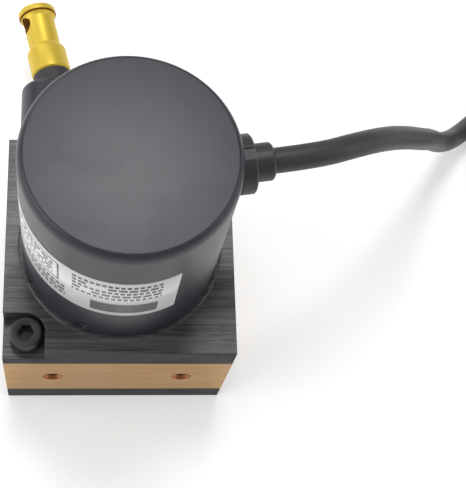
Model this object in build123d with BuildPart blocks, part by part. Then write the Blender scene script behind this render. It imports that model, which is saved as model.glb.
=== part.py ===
from build123d import *

import math
import os

os.makedirs("parts", exist_ok=True)

# Millimetres. X to the cable gland, Y along the wire as it leaves, Z up.
# The origin is the centre of the underside, on the axis of the round cover.

# Stack of square plates
block_side = 50.0
base_plate_height = 6.6
drum_housing_height = 21.5
top_plate_height = 7.6
plate_edge_break = 0.4
fit_clearance = 0.02
running_clearance = 0.05

# Round sensor cover
can_diameter = 42.4
can_length = 45.8
can_wall = 1.8
can_roof = 2.0
can_rim_radius = 2.0
foot_ledge_width = 1.0
foot_ledge_height = 0.5
spigot_height = 6.4
spigot_wall = 2.35
can_screw_count = 3
can_screw_diameter = 3.0
can_screw_length = 3.6
can_screw_height = 2.2
can_screw_recess = 0.3
can_screw_socket = 1.5
can_screw_azimuth = -113.0

# Label wrapped round the cover
label_height = 18.5
label_foot_gap = 14.5
label_length = 50.0
label_thickness = 0.1
label_end_azimuth = -61.9

# Cover seal
seal_section = 1.5
seal_from_spigot_top = 1.9

# Draw wire and its drum
wire_diameter = 0.6
winding_from_side = 9.084506
measuring_range = 1000.0
spare_turns = 1.5
winding_pitch = 0.65
winding_side_gap = 0.3
drum_flange_height = 1.9
drum_flange_thickness = 1.0
drum_rim_wall = 2.2
drum_web_thickness = 2.4
drum_hub_diameter = 10.0
drum_web_holes = 6
drum_web_hole_diameter = 4.5
drum_side_gap = 1.0

# Shaft and ball bearings
shaft_diameter = 6.0
bearing_outer_diameter = 13.0
bearing_width = 5.0
bearing_ball_diameter = 2.0
bearing_ball_count = 7
bearing_ring_wall = 1.15
circlip_thickness = 0.7
circlip_width = 1.6

# Return spring
spring_strip_thickness = 0.4
spring_strip_height = 6.5
spring_turns = 5
half_turn_angle = 180
spring_cup_wall = 1.0
spring_cup_floor = 0.8
spring_end_gap = 0.3
spring_arbor_gap = 1.015494
arbor_diameter = 10.0
arbor_slot_width = 0.8

# Wire outlet and the rubber stop
outlet_diameter = 15.0
outlet_length = 23.0
outlet_rim_radius = 1.5
outlet_shank_diameter = 10.0
outlet_shank_length = 6.5
outlet_bore_diameter = 6.0
outlet_mouth_diameter = 10.6
outlet_mouth_depth = 2.5
eyelet_length = 3.0
eyelet_bore_diameter = 1.6
eyelet_throat_radius = 0.8

# Wire end fitting, which hangs on a ball at the end of the wire
ball_diameter = 2.4
ball_beyond_outlet = 3.0
fitting_lean = 13.2
fitting_swing = 14.0
rim_beyond_ball = 1.35
fitting_base_diameter = 9.7
fitting_base_length = 6.6
fitting_shoulder_length = 1.1
fitting_neck_diameter = 7.8
fitting_length = 18.5
fitting_flange_diameter = 9.4
fitting_flange_length = 1.6
fitting_groove_width = 0.4
fitting_groove_depth = 0.35
fitting_flare_length = 0.9
fitting_edge_break = 0.35
eye_diameter = 4.0
eye_from_rim = 14.2
eye_roll = 20.0
tail_diameter = 5.6
tail_beyond_ball = 2.6
bumper_diameter = 9.3
bumper_beyond_ball = 2.95
bumper_edge_radius = 1.2

# Mounting holes and screws
front_hole_spacing = 29.0
front_hole_diameter = 3.3
front_hole_depth = 8.0
front_hole_mouth_diameter = 4.8
front_hole_mouth_angle = 120
corner_pocket_side = 9.0
corner_pocket_floor = 3.2
corner_pocket_radius = 4.0
corner_screw_diameter = 4.0
corner_screw_length = 12.0
corner_screw_head_diameter = 7.0
corner_screw_head_height = 4.0
corner_screw_socket = 3.0
corner_screw_inset = 5.0
base_screw_diameter = 3.0
base_screw_length = 11.0
base_screw_head_diameter = 6.0
base_screw_socket = 2.0
base_screw_inset = 5.0
base_screw_recess = 0.2
screw_hole_clearance = 0.2

# Angle sensor, its coupling and its bracket
coupling_diameter = 10.4
coupling_length = 10.6
coupling_shaft_gap = 0.3
coupling_screw_diameter = 3.0
bracket_height = 16.3
bracket_thickness = 2.0
bracket_side_gap = 1.9
sensor_body_screw_gap = 0.5
sensor_body_length = 16.0
sensor_bush_diameter = 9.0
sensor_bush_length = 5.5
sensor_shaft_reach = 15.0
sensor_nut_flats = 12.0
sensor_nut_thickness = 2.0
spacer_flats = 5.0
spacer_inset = 3.0
spacer_count = 3
spacer_azimuth = 40.0
spacer_stud_diameter = 3.0
spacer_stud_length = 3.0
small_screw_head_diameter = 5.0
small_screw_head_height = 1.7
small_screw_length = 3.0

# Transmitter board
board_side_gap = 3.9
board_thickness = 1.6
board_height = 20.4
board_spacer_diameter = 4.0
board_spacer_azimuth = 100.0
board_spacer_shift = 0.5
chip_length = 7.0
chip_width = 5.0
chip_height = 1.5
capacitor_diameter = 4.0
capacitor_screw_gap = 2.75
capacitor_height = 3.2

# Cable gland
gland_azimuth = 8.9
gland_below_roof = 11.2
gland_shank_diameter = 8.0
gland_shank_length = 4.8
gland_seat_depth = 0.8
gland_washer_diameter = 11.8
gland_washer_thickness = 0.9
gland_nut_diameter = 12.0
gland_nut_length = 3.0
gland_slot_count = 3
gland_slot_width = 2.4
gland_slot_depth = 0.4
gland_slot_angle = -25.0
gland_neck_diameter = 6.5
gland_neck_length = 1.2
gland_cap_diameter = 7.7
gland_cap_length = 4.2
gland_cap_lip = 0.6
gland_cap_chamfer = 0.5
gland_seal_gap = 0.1
locknut_flats = 11.0
locknut_thickness = 2.6
locknut_wall_gap = 1.15

# Cable
cable_diameter = 5.2
cable_tail_length = 13.9
conductor_diameter = 1.1
conductor_offset = 0.75
conductor_bend_radius = 1.2
conductor_end_length = 30.0
coil_inner_turn_radius = 28.6
coil_top_turn_from = 150.0
coil_top_turn_to = 434.0
tie_width = 3.0
tie_thickness = 0.5
tie_turn_angles = (50.0, 270.0)

# Heights of the stack
housing_floor = base_plate_height
housing_top = housing_floor + drum_housing_height
deck = housing_top + top_plate_height
can_foot = deck + foot_ledge_height
can_top = can_foot + can_length
half_side = block_side / 2

# The wire lies in the middle of the drum housing's height
wire_height = housing_floor + drum_housing_height / 2
wire_radius = wire_diameter / 2
winding_radius = half_side - winding_from_side
wire_per_turn = 2 * math.pi * winding_radius
drum_root_radius = winding_radius - wire_radius
drum_flange_radius = drum_root_radius + drum_flange_height
drum_bore_radius = drum_flange_radius + drum_side_gap
winding_turns = measuring_range / wire_per_turn + spare_turns
winding_top = wire_height + wire_radius + winding_side_gap
winding_bottom = winding_top - winding_turns * winding_pitch
drum_top = winding_top + drum_flange_thickness
drum_bottom = winding_bottom - drum_flange_thickness

shaft_radius = shaft_diameter / 2
shaft_bore_radius = shaft_radius + fit_clearance
bearing_radius = bearing_outer_diameter / 2
bearing_pocket_radius = bearing_radius + fit_clearance
lower_bearing_floor = housing_floor - bearing_width
upper_bearing_floor = deck - bearing_width

# Outlet and ball
outlet_axis_x = -winding_radius
outlet_face = half_side + outlet_length
ball_y = outlet_face + ball_beyond_outlet
ball_radius = ball_diameter / 2
ball_centre = (outlet_axis_x, ball_y, wire_height)
lean = math.radians(fitting_lean)
fitting_axis = (-math.sin(lean), math.cos(lean), 0)
fitting_across = (math.cos(lean), math.sin(lean), 0)
fitting_plane = Plane(origin=ball_centre, x_dir=fitting_across, z_dir=fitting_axis)

# Cover
can_radius = can_diameter / 2
can_bore_radius = can_radius - can_wall
spigot_radius = can_bore_radius - running_clearance
spigot_bore_radius = spigot_radius - spigot_wall
spigot_top = can_foot + spigot_height
can_screw_z = can_foot + can_screw_height
can_screw_radius = can_screw_diameter / 2
can_screw_outer = can_radius - can_screw_recess
can_screw_inner = can_screw_outer - can_screw_length
can_screw_step = 360 / can_screw_count
can_screw_angles = [math.radians(can_screw_azimuth + can_screw_step * turn) for turn in range(can_screw_count)]
can_screw_planes = [
    Plane(origin=(0, 0, can_screw_z), x_dir=(0, 0, 1), z_dir=(math.cos(angle), math.sin(angle), 0))
    for angle in can_screw_angles
]
seal_height = spigot_top - seal_from_spigot_top
seal_groove_depth = seal_section - 0.3

# Inside the cover
spacer_circle_radius = spigot_bore_radius - spacer_inset
sensor_body_radius = spacer_circle_radius - small_screw_head_diameter / 2 - sensor_body_screw_gap
bracket_radius = can_bore_radius - bracket_side_gap
board_radius = can_bore_radius - board_side_gap

# Gland
gland_z = can_top - gland_below_roof
gland_angle = math.radians(gland_azimuth)
gland_direction = (math.cos(gland_angle), math.sin(gland_angle), 0)
gland_across = (-math.sin(gland_angle), math.cos(gland_angle), 0)
gland_plane = Plane(origin=(0, 0, gland_z), x_dir=gland_across, z_dir=gland_direction)
gland_seat = can_radius - gland_seat_depth
gland_nut_start = gland_seat + gland_washer_thickness
gland_nut_end = gland_nut_start + gland_nut_length
gland_cap_end = gland_nut_end + gland_cap_length
cable_radius = cable_diameter / 2
gland_bore_radius = cable_radius + running_clearance


# Base plate: closes the drum housing from below and holds the lower bearing
with BuildPart() as base_plate:
    with BuildSketch(Plane.XY):
        Rectangle(block_side, block_side)
    extrude(amount=base_plate_height)
    chamfer(base_plate.edges().filter_by(Axis.Z), length=plate_edge_break)
    chamfer(base_plate.faces().sort_by(Axis.Z)[0].edges(), length=plate_edge_break)
    with BuildSketch(Plane.XY.offset(base_plate_height)):
        Circle(bearing_pocket_radius)
    extrude(amount=-bearing_width, mode=Mode.SUBTRACT)
    base_screw_pitch = block_side - 2 * base_screw_inset
    with Locations(Plane.XY.rotated((180, 0, 0))):
        with GridLocations(base_screw_pitch, base_screw_pitch, 2, 2):
            CounterSinkHole(
                radius=(base_screw_diameter + screw_hole_clearance) / 2,
                counter_sink_radius=base_screw_head_diameter / 2 + base_screw_recess,
                depth=base_plate_height,
            )
base_plate.part.label = "base_plate"
export_step(base_plate.part, "parts/base_plate.step")


# Drum housing: the gold block with the drum bore, the outlet seat and the tapped holes
outlet_seat_depth = outlet_shank_length
with BuildPart() as drum_housing:
    with BuildSketch(Plane.XY.offset(housing_floor)):
        Rectangle(block_side, block_side)
        Circle(drum_bore_radius, mode=Mode.SUBTRACT)
    extrude(amount=drum_housing_height)
    chamfer(drum_housing.edges().filter_by(Axis.Z).group_by(SortBy.DISTANCE)[-1], length=plate_edge_break)
    outlet_back = Plane(origin=(outlet_axis_x, half_side, wire_height), x_dir=(-1, 0, 0), z_dir=(0, 1, 0))
    with BuildSketch(outlet_back):
        Circle(outlet_shank_diameter / 2 + fit_clearance)
    extrude(amount=-outlet_seat_depth, mode=Mode.SUBTRACT)
    with BuildSketch(outlet_back):
        Circle(outlet_bore_diameter / 2)
    extrude(amount=-half_side, mode=Mode.SUBTRACT)
    front_face = Plane(origin=(0, -half_side, wire_height), x_dir=(1, 0, 0), z_dir=(0, -1, 0))
    with Locations(front_face):
        with GridLocations(front_hole_spacing, 1, 2, 1):
            CounterSinkHole(
                radius=front_hole_diameter / 2,
                counter_sink_radius=front_hole_mouth_diameter / 2,
                counter_sink_angle=front_hole_mouth_angle,
                depth=front_hole_depth,
            )
    with BuildSketch(Plane.XY.offset(housing_floor)):
        with GridLocations(base_screw_pitch, base_screw_pitch, 2, 2):
            Circle(base_screw_diameter / 2 + fit_clearance)
    extrude(amount=base_screw_length - base_plate_height + 1, mode=Mode.SUBTRACT)
    corner_screw_xy = half_side - corner_screw_inset
    corner_screw_places = [(-corner_screw_xy, -corner_screw_xy), (corner_screw_xy, corner_screw_xy)]
    corner_screw_tip = housing_top + corner_pocket_floor - corner_screw_length
    with BuildSketch(Plane.XY.offset(housing_top)):
        with Locations(*corner_screw_places):
            Circle(corner_screw_diameter / 2 + fit_clearance)
    extrude(amount=corner_screw_tip - 1 - housing_top, mode=Mode.SUBTRACT)
drum_housing.part.label = "drum_housing"
export_step(drum_housing.part, "parts/drum_housing.step")


# Top plate: carries the upper bearing, the corner screws, and the spigot that centres the cover
seal_groove_radius = spigot_radius - seal_groove_depth
pocket_floor_z = housing_top + corner_pocket_floor
with BuildPart() as top_plate:
    with BuildSketch(Plane.XY.offset(housing_top)):
        Rectangle(block_side, block_side)
    extrude(amount=top_plate_height)
    chamfer(top_plate.edges().filter_by(Axis.Z), length=plate_edge_break)
    with BuildSketch(Plane.XY.offset(deck)):
        Circle(can_radius + foot_ledge_width)
    extrude(amount=foot_ledge_height)
    chamfer(top_plate.faces().sort_by(Axis.Z)[-1].edges(), length=foot_ledge_height / 2)
    with BuildSketch(Plane.XY.offset(deck)):
        Circle(spigot_radius)
    extrude(amount=foot_ledge_height + spigot_height)
    chamfer(top_plate.faces().sort_by(Axis.Z)[-1].edges(), length=plate_edge_break)
    with BuildSketch(Plane.XY.offset(deck)):
        Circle(spigot_bore_radius)
    extrude(amount=foot_ledge_height + spigot_height, mode=Mode.SUBTRACT)
    with BuildSketch(Plane.XY.offset(deck)):
        Circle(bearing_pocket_radius)
    extrude(amount=-bearing_width, mode=Mode.SUBTRACT)
    with BuildSketch(Plane.XY.offset(housing_top)):
        Circle(arbor_diameter / 2)
    extrude(amount=upper_bearing_floor - housing_top, mode=Mode.SUBTRACT)
    with BuildSketch(Plane.XY.offset(seal_height - seal_section / 2)):
        Circle(spigot_radius + running_clearance)
        Circle(seal_groove_radius, mode=Mode.SUBTRACT)
    extrude(amount=seal_section, mode=Mode.SUBTRACT)
    corner_pocket_reach = half_side - corner_pocket_side / 2 + corner_pocket_radius / 2
    corner_pocket_width = corner_pocket_side + corner_pocket_radius
    with BuildSketch(Plane.XY.offset(pocket_floor_z)):
        pocket_corners = [(-corner_pocket_reach, -corner_pocket_reach), (corner_pocket_reach, corner_pocket_reach)]
        with Locations(*pocket_corners):
            RectangleRounded(corner_pocket_width, corner_pocket_width, corner_pocket_radius)
    extrude(amount=deck - pocket_floor_z, mode=Mode.SUBTRACT)
    with BuildSketch(Plane.XY.offset(housing_top)):
        with Locations(*corner_screw_places):
            Circle((corner_screw_diameter + screw_hole_clearance) / 2)
    extrude(amount=corner_pocket_floor, mode=Mode.SUBTRACT)
    with BuildSketch(Plane.XY.offset(deck)):
        with PolarLocations(spacer_circle_radius, spacer_count, spacer_azimuth):
            Circle(spacer_stud_diameter / 2 + fit_clearance)
    extrude(amount=-spacer_stud_length - 0.5, mode=Mode.SUBTRACT)
    for can_screw_plane in can_screw_planes:
        with BuildSketch(can_screw_plane.offset(can_screw_inner)):
            Circle(can_screw_radius + fit_clearance)
        extrude(amount=can_screw_length, mode=Mode.SUBTRACT)
top_plate.part.label = "top_plate"
export_step(top_plate.part, "parts/top_plate.step")


# Round cover: a deep drawn cup, open at its foot
with BuildPart() as sensor_can:
    with BuildSketch(Plane.XY.offset(can_foot)):
        Circle(can_radius)
    extrude(amount=can_length)
    fillet(sensor_can.faces().sort_by(Axis.Z)[-1].edges(), radius=can_rim_radius)
    with BuildSketch(Plane.XY.offset(can_foot)):
        Circle(can_bore_radius)
    extrude(amount=can_length - can_roof, mode=Mode.SUBTRACT)
    with BuildSketch(gland_plane.offset(gland_seat)):
        Circle(gland_washer_diameter / 2 + running_clearance)
    extrude(amount=can_wall, mode=Mode.SUBTRACT)
    with BuildSketch(gland_plane.offset(can_bore_radius - can_wall)):
        Circle(gland_shank_diameter / 2 + fit_clearance)
    extrude(amount=2 * can_wall, mode=Mode.SUBTRACT)
    for can_screw_plane in can_screw_planes:
        with BuildSketch(can_screw_plane.offset(can_bore_radius - can_wall)):
            Circle(can_screw_radius + fit_clearance)
        extrude(amount=3 * can_wall, mode=Mode.SUBTRACT)
sensor_can.part.label = "sensor_can"
export_step(sensor_can.part, "parts/sensor_can.step")


# Label: a thin band that wraps the cover clockwise from its end near the front
label_sweep = math.degrees(label_length / can_radius)
label_floor = can_foot + label_foot_gap
with BuildPart() as side_label:
    with BuildSketch(Plane.XZ.rotated((0, 0, label_end_azimuth - label_sweep))):
        with Locations((can_radius + label_thickness / 2, label_floor + label_height / 2)):
            Rectangle(label_thickness, label_height)
    revolve(axis=Axis.Z, revolution_arc=label_sweep)
side_label.part.label = "side_label"
export_step(side_label.part, "parts/side_label.step")


# Seal ring squeezed between the spigot and the cover
with BuildPart() as can_seal:
    with BuildSketch(Plane.XZ):
        with Locations(((seal_groove_radius + can_bore_radius) / 2, seal_height)):
            Rectangle(seal_groove_depth, seal_section - 2 * running_clearance)
    revolve(axis=Axis.Z)
    fillet(can_seal.edges(), radius=seal_section / 4)
can_seal.part.label = "can_seal"
export_step(can_seal.part, "parts/can_seal.step")


# Headless screws that hold the cover on its spigot
with BuildPart() as can_set_screws:
    for can_screw_plane in can_screw_planes:
        with BuildSketch(can_screw_plane.offset(can_screw_inner)):
            Circle(can_screw_radius)
        extrude(amount=can_screw_length)
        with BuildSketch(can_screw_plane.offset(can_screw_outer)):
            RegularPolygon(can_screw_socket / 2, 6, major_radius=False)
        extrude(amount=-can_screw_length / 2, mode=Mode.SUBTRACT)
can_set_screws.part.label = "can_set_screws"
export_step(can_set_screws.part, "parts/can_set_screws.step")


# Cap screws in the two corner pockets
with BuildPart() as corner_cap_screws:
    with BuildSketch(Plane.XY.offset(pocket_floor_z)):
        with Locations(*corner_screw_places):
            Circle(corner_screw_head_diameter / 2)
    extrude(amount=corner_screw_head_height)
    chamfer(corner_cap_screws.faces().group_by(Axis.Z)[-1].edges(), length=plate_edge_break)
    with BuildSketch(Plane.XY.offset(pocket_floor_z)):
        with Locations(*corner_screw_places):
            Circle(corner_screw_diameter / 2)
    extrude(amount=-corner_screw_length)
    with BuildSketch(Plane.XY.offset(pocket_floor_z + corner_screw_head_height)):
        with Locations(*corner_screw_places):
            RegularPolygon(corner_screw_socket / 2, 6, major_radius=False)
    extrude(amount=-corner_screw_head_height / 2, mode=Mode.SUBTRACT)
corner_cap_screws.part.label = "corner_cap_screws"
export_step(corner_cap_screws.part, "parts/corner_cap_screws.step")


# Countersunk screws through the base plate
base_screw_cone = (base_screw_head_diameter - base_screw_diameter) / 2
with BuildPart() as one_base_screw:
    with BuildSketch(Plane.XZ):
        with BuildLine():
            Polyline(
                (0, base_screw_recess),
                (base_screw_head_diameter / 2, base_screw_recess),
                (base_screw_diameter / 2, base_screw_recess + base_screw_cone),
                (base_screw_diameter / 2, base_screw_length),
                (0, base_screw_length),
                close=True,
            )
        make_face()
    revolve(axis=Axis.Z)
    with BuildSketch(Plane.XY.offset(base_screw_recess)):
        RegularPolygon(base_screw_socket / 2, 6, major_radius=False)
    extrude(amount=base_screw_cone, mode=Mode.SUBTRACT)

with BuildPart() as base_screws:
    with GridLocations(base_screw_pitch, base_screw_pitch, 2, 2):
        add(one_base_screw.part)
base_screws.part.label = "base_screws"
export_step(base_screws.part, "parts/base_screws.step")


# Ball bearings: inner ring, outer ring and balls for each of the two seats
ball_pitch_radius = (shaft_radius + bearing_radius) / 2
race_radius = bearing_ball_diameter / 2 + 0.03
for bearing_name, bearing_floor in (("lower", lower_bearing_floor), ("upper", upper_bearing_floor)):
    race_height = bearing_floor + bearing_width / 2
    with BuildPart() as outer_ring:
        with BuildSketch(Plane.XZ):
            with Locations((bearing_radius - bearing_ring_wall / 2, race_height)):
                Rectangle(bearing_ring_wall, bearing_width)
            with Locations((ball_pitch_radius, race_height)):
                Circle(race_radius, mode=Mode.SUBTRACT)
        revolve(axis=Axis.Z)
    outer_ring.part.label = bearing_name + "_bearing_outer_ring"
    export_step(outer_ring.part, "parts/" + bearing_name + "_bearing_outer_ring.step")

    with BuildPart() as inner_ring:
        with BuildSketch(Plane.XZ):
            with Locations((shaft_bore_radius + bearing_ring_wall / 2, race_height)):
                Rectangle(bearing_ring_wall, bearing_width)
            with Locations((ball_pitch_radius, race_height)):
                Circle(race_radius, mode=Mode.SUBTRACT)
        revolve(axis=Axis.Z)
    inner_ring.part.label = bearing_name + "_bearing_inner_ring"
    export_step(inner_ring.part, "parts/" + bearing_name + "_bearing_inner_ring.step")

    with BuildPart() as bearing_balls:
        with Locations(Plane.XY.offset(race_height)):
            with PolarLocations(ball_pitch_radius, bearing_ball_count):
                Sphere(bearing_ball_diameter / 2)
    bearing_balls.part.label = bearing_name + "_bearing_balls"
    export_step(bearing_balls.part, "parts/" + bearing_name + "_bearing_balls.step")


# Drum shaft, from the lower bearing up to the coupling
bracket_floor = deck + bracket_height
coupling_top = bracket_floor - sensor_bush_length - 0.3 + bracket_thickness
coupling_middle = coupling_top - coupling_length / 2
coupling_bottom = coupling_top - coupling_length
shaft_bottom = lower_bearing_floor + plate_edge_break
shaft_top = coupling_middle - coupling_shaft_gap / 2
with BuildPart() as drum_shaft:
    with BuildSketch(Plane.XY.offset(shaft_bottom)):
        Circle(shaft_radius)
    extrude(amount=shaft_top - shaft_bottom)
    chamfer(drum_shaft.edges(), length=plate_edge_break)
drum_shaft.part.label = "drum_shaft"
export_step(drum_shaft.part, "parts/drum_shaft.step")


# Wire drum: a flanged rim on a thin web, with a hub that sits on the lower bearing
drum_middle = (drum_top + drum_bottom) / 2
with BuildPart() as wire_drum:
    with BuildSketch(Plane.XZ) as drum_profile:
        with BuildLine():
            Polyline(
                (shaft_bore_radius, housing_floor),
                (drum_hub_diameter / 2, housing_floor),
                (drum_hub_diameter / 2, drum_middle - drum_web_thickness / 2),
                (drum_root_radius - drum_rim_wall, drum_middle - drum_web_thickness / 2),
                (drum_root_radius - drum_rim_wall, drum_bottom),
                (drum_flange_radius, drum_bottom),
                (drum_flange_radius, winding_bottom),
                (drum_root_radius, winding_bottom),
                (drum_root_radius, winding_top),
                (drum_flange_radius, winding_top),
                (drum_flange_radius, drum_top),
                (drum_root_radius - drum_rim_wall, drum_top),
                (drum_root_radius - drum_rim_wall, drum_middle + drum_web_thickness / 2),
                (drum_hub_diameter / 2, drum_middle + drum_web_thickness / 2),
                (drum_hub_diameter / 2, drum_top),
                (shaft_bore_radius, drum_top),
                close=True,
            )
        make_face()
    revolve(axis=Axis.Z)
    web_hole_circle = (drum_hub_diameter / 2 + drum_root_radius - drum_rim_wall) / 2
    with BuildSketch(Plane.XY.offset(drum_middle - drum_web_thickness / 2)):
        with PolarLocations(web_hole_circle, drum_web_holes):
            Circle(drum_web_hole_diameter / 2)
    extrude(amount=drum_web_thickness, mode=Mode.SUBTRACT)
wire_drum.part.label = "wire_drum"
export_step(wire_drum.part, "parts/wire_drum.step")


# Turns of wire on the drum, as one sleeve
with BuildPart() as wound_wire:
    with BuildSketch(Plane.XY.offset(winding_bottom)):
        Circle(drum_root_radius + wire_diameter)
        Circle(drum_root_radius, mode=Mode.SUBTRACT)
    extrude(amount=winding_top - winding_bottom)
wound_wire.part.label = "wound_wire"
export_step(wound_wire.part, "parts/wound_wire.step")


# Spring cup, pressed in the top of the drum bore
cup_outer_radius = drum_bore_radius - running_clearance
cup_bore_radius = cup_outer_radius - spring_cup_wall
spring_floor = housing_top - spring_end_gap - spring_strip_height
cup_floor_top = spring_floor - spring_end_gap
cup_bottom = cup_floor_top - spring_cup_floor
with BuildPart() as spring_cup:
    with BuildSketch(Plane.XY.offset(cup_bottom)):
        Circle(cup_outer_radius)
    extrude(amount=housing_top - cup_bottom)
    with BuildSketch(Plane.XY.offset(cup_floor_top)):
        Circle(cup_bore_radius)
    extrude(amount=housing_top - cup_floor_top, mode=Mode.SUBTRACT)
    with BuildSketch(Plane.XY.offset(cup_bottom)):
        Circle(arbor_diameter / 2 + drum_side_gap)
    extrude(amount=spring_cup_floor, mode=Mode.SUBTRACT)
spring_cup.part.label = "spring_cup"
export_step(spring_cup.part, "parts/spring_cup.step")


# Spring arbor on the shaft, between the drum and the upper bearing, slotted for the spring's inner end
with BuildPart() as spring_arbor:
    with BuildSketch(Plane.XY.offset(drum_top)):
        Circle(arbor_diameter / 2)
    extrude(amount=housing_top - spring_end_gap - drum_top)
    with BuildSketch(Plane.XY.offset(drum_top)):
        Circle(shaft_bore_radius + bearing_ring_wall)
    extrude(amount=upper_bearing_floor - drum_top)
    with BuildSketch(Plane.XY.offset(drum_top)):
        Circle(shaft_bore_radius)
    extrude(amount=upper_bearing_floor - drum_top, mode=Mode.SUBTRACT)
    with BuildSketch(Plane.XY.offset(spring_floor - spring_end_gap)):
        with Locations((arbor_diameter / 2, 0)):
            Rectangle(2 * arbor_slot_width, arbor_slot_width)
    extrude(amount=spring_strip_height + 2 * spring_end_gap, mode=Mode.SUBTRACT)
spring_arbor.part.label = "spring_arbor"
export_step(spring_arbor.part, "parts/spring_arbor.step")


# Return spring: a flat strip wound in half circles whose centres alternate
spring_outer_radius = cup_bore_radius - spring_strip_thickness / 2 - running_clearance
half_turns = 2 * spring_turns
half_strip = spring_strip_thickness / 2
spring_inner_end = arbor_diameter / 2 + spring_arbor_gap + half_strip
spring_turn_pitch = (spring_outer_radius - spring_inner_end) / spring_turns
with BuildPart() as power_spring:
    for half_turn in range(half_turns):
        turn_radius = spring_outer_radius - half_turn * spring_turn_pitch / 2
        turn_centre = -spring_turn_pitch / 2 if half_turn % 2 else 0
        turn_start = half_turn_angle * (half_turn % 2)
        with BuildSketch(Plane.XY.offset(spring_floor)):
            with BuildLine():
                outer_arc = CenterArc((turn_centre, 0), turn_radius + half_strip, turn_start, half_turn_angle)
                inner_arc = CenterArc((turn_centre, 0), turn_radius - half_strip, turn_start, half_turn_angle)
                Line(outer_arc @ 0, inner_arc @ 0)
                Line(outer_arc @ 1, inner_arc @ 1)
            make_face()
        extrude(amount=spring_strip_height)
    hook_start = arbor_diameter / 2 - arbor_slot_width / 2
    with BuildSketch(Plane.XY.offset(spring_floor)):
        with Locations(((hook_start + spring_inner_end + half_strip) / 2, -half_strip)):
            Rectangle(spring_inner_end + half_strip - hook_start, spring_strip_thickness)
    extrude(amount=spring_strip_height)
power_spring.part.label = "power_spring"
export_step(power_spring.part, "parts/power_spring.step")


# Clip that keeps the shaft down on the upper bearing
with BuildPart() as shaft_circlip:
    with BuildSketch(Plane.XY.offset(deck)):
        Circle(shaft_bore_radius + circlip_width)
        Circle(shaft_bore_radius, mode=Mode.SUBTRACT)
        with Locations((shaft_radius + circlip_width, 0)):
            Rectangle(2 * circlip_width + shaft_radius, circlip_width, mode=Mode.SUBTRACT)
    extrude(amount=circlip_thickness)
shaft_circlip.part.label = "shaft_circlip"
export_step(shaft_circlip.part, "parts/shaft_circlip.step")


# Coupling sleeve between the drum shaft and the sensor's shaft
coupling_screw_heights = [coupling_middle - coupling_length / 4, coupling_middle + coupling_length / 4]
with BuildPart() as shaft_coupling:
    with BuildSketch(Plane.XY.offset(coupling_bottom)):
        Circle(coupling_diameter / 2)
        Circle(shaft_bore_radius, mode=Mode.SUBTRACT)
    extrude(amount=coupling_length)
    with BuildSketch(Plane.YZ):
        with Locations(*[(0, height) for height in coupling_screw_heights]):
            Circle(coupling_screw_diameter / 2 + fit_clearance)
    extrude(amount=coupling_diameter, mode=Mode.SUBTRACT)
shaft_coupling.part.label = "shaft_coupling"
export_step(shaft_coupling.part, "parts/shaft_coupling.step")

with BuildPart() as coupling_screws:
    with BuildSketch(Plane.YZ.offset(shaft_radius + running_clearance)):
        with Locations(*[(0, height) for height in coupling_screw_heights]):
            Circle(coupling_screw_diameter / 2)
            RegularPolygon(coupling_screw_diameter / 4, 6, major_radius=False, mode=Mode.SUBTRACT)
    extrude(amount=coupling_diameter / 2 - shaft_radius - 0.2)
coupling_screws.part.label = "coupling_screws"
export_step(coupling_screws.part, "parts/coupling_screws.step")


# Angle sensor: a potentiometer hung through the bracket, shaft down
bracket_top = bracket_floor + bracket_thickness
sensor_body_top = bracket_top + sensor_body_length
sensor_shaft_bottom = coupling_middle + coupling_shaft_gap / 2
sensor_shaft_top = sensor_shaft_bottom + sensor_shaft_reach
bush_bottom = bracket_top - sensor_bush_length
with BuildPart() as potentiometer_body:
    with BuildSketch(Plane.XY.offset(bracket_top)):
        Circle(sensor_body_radius)
    extrude(amount=sensor_body_length)
    chamfer(potentiometer_body.faces().sort_by(Axis.Z)[-1].edges(), length=plate_edge_break)
    with BuildSketch(Plane.XY.offset(bush_bottom)):
        Circle(sensor_bush_diameter / 2)
    extrude(amount=sensor_bush_length)
    with BuildSketch(Plane.XY.offset(bush_bottom)):
        Circle(shaft_radius + running_clearance)
    extrude(amount=sensor_shaft_top + running_clearance - bush_bottom, mode=Mode.SUBTRACT)
potentiometer_body.part.label = "potentiometer_body"
export_step(potentiometer_body.part, "parts/potentiometer_body.step")

with BuildPart() as potentiometer_shaft:
    with BuildSketch(Plane.XY.offset(sensor_shaft_bottom)):
        Circle(shaft_radius)
    extrude(amount=sensor_shaft_reach)
potentiometer_shaft.part.label = "potentiometer_shaft"
export_step(potentiometer_shaft.part, "parts/potentiometer_shaft.step")

with BuildPart() as potentiometer_nut:
    with BuildSketch(Plane.XY.offset(bracket_floor)):
        RegularPolygon(sensor_nut_flats / 2, 6, major_radius=False)
        Circle(sensor_bush_diameter / 2 + fit_clearance, mode=Mode.SUBTRACT)
    extrude(amount=-sensor_nut_thickness)
potentiometer_nut.part.label = "potentiometer_nut"
export_step(potentiometer_nut.part, "parts/potentiometer_nut.step")


# Bracket plate and its hexagonal spacers
board_spacer_circle = (sensor_body_radius + board_radius) / 2 + board_spacer_shift
with BuildPart() as sensor_bracket:
    with BuildSketch(Plane.XY.offset(bracket_floor)):
        Circle(bracket_radius)
        Circle(sensor_bush_diameter / 2 + fit_clearance, mode=Mode.SUBTRACT)
        with PolarLocations(spacer_circle_radius, spacer_count, spacer_azimuth):
            Circle(spacer_stud_diameter / 2 + fit_clearance, mode=Mode.SUBTRACT)
    extrude(amount=bracket_thickness)
sensor_bracket.part.label = "sensor_bracket"
export_step(sensor_bracket.part, "parts/sensor_bracket.step")

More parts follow.
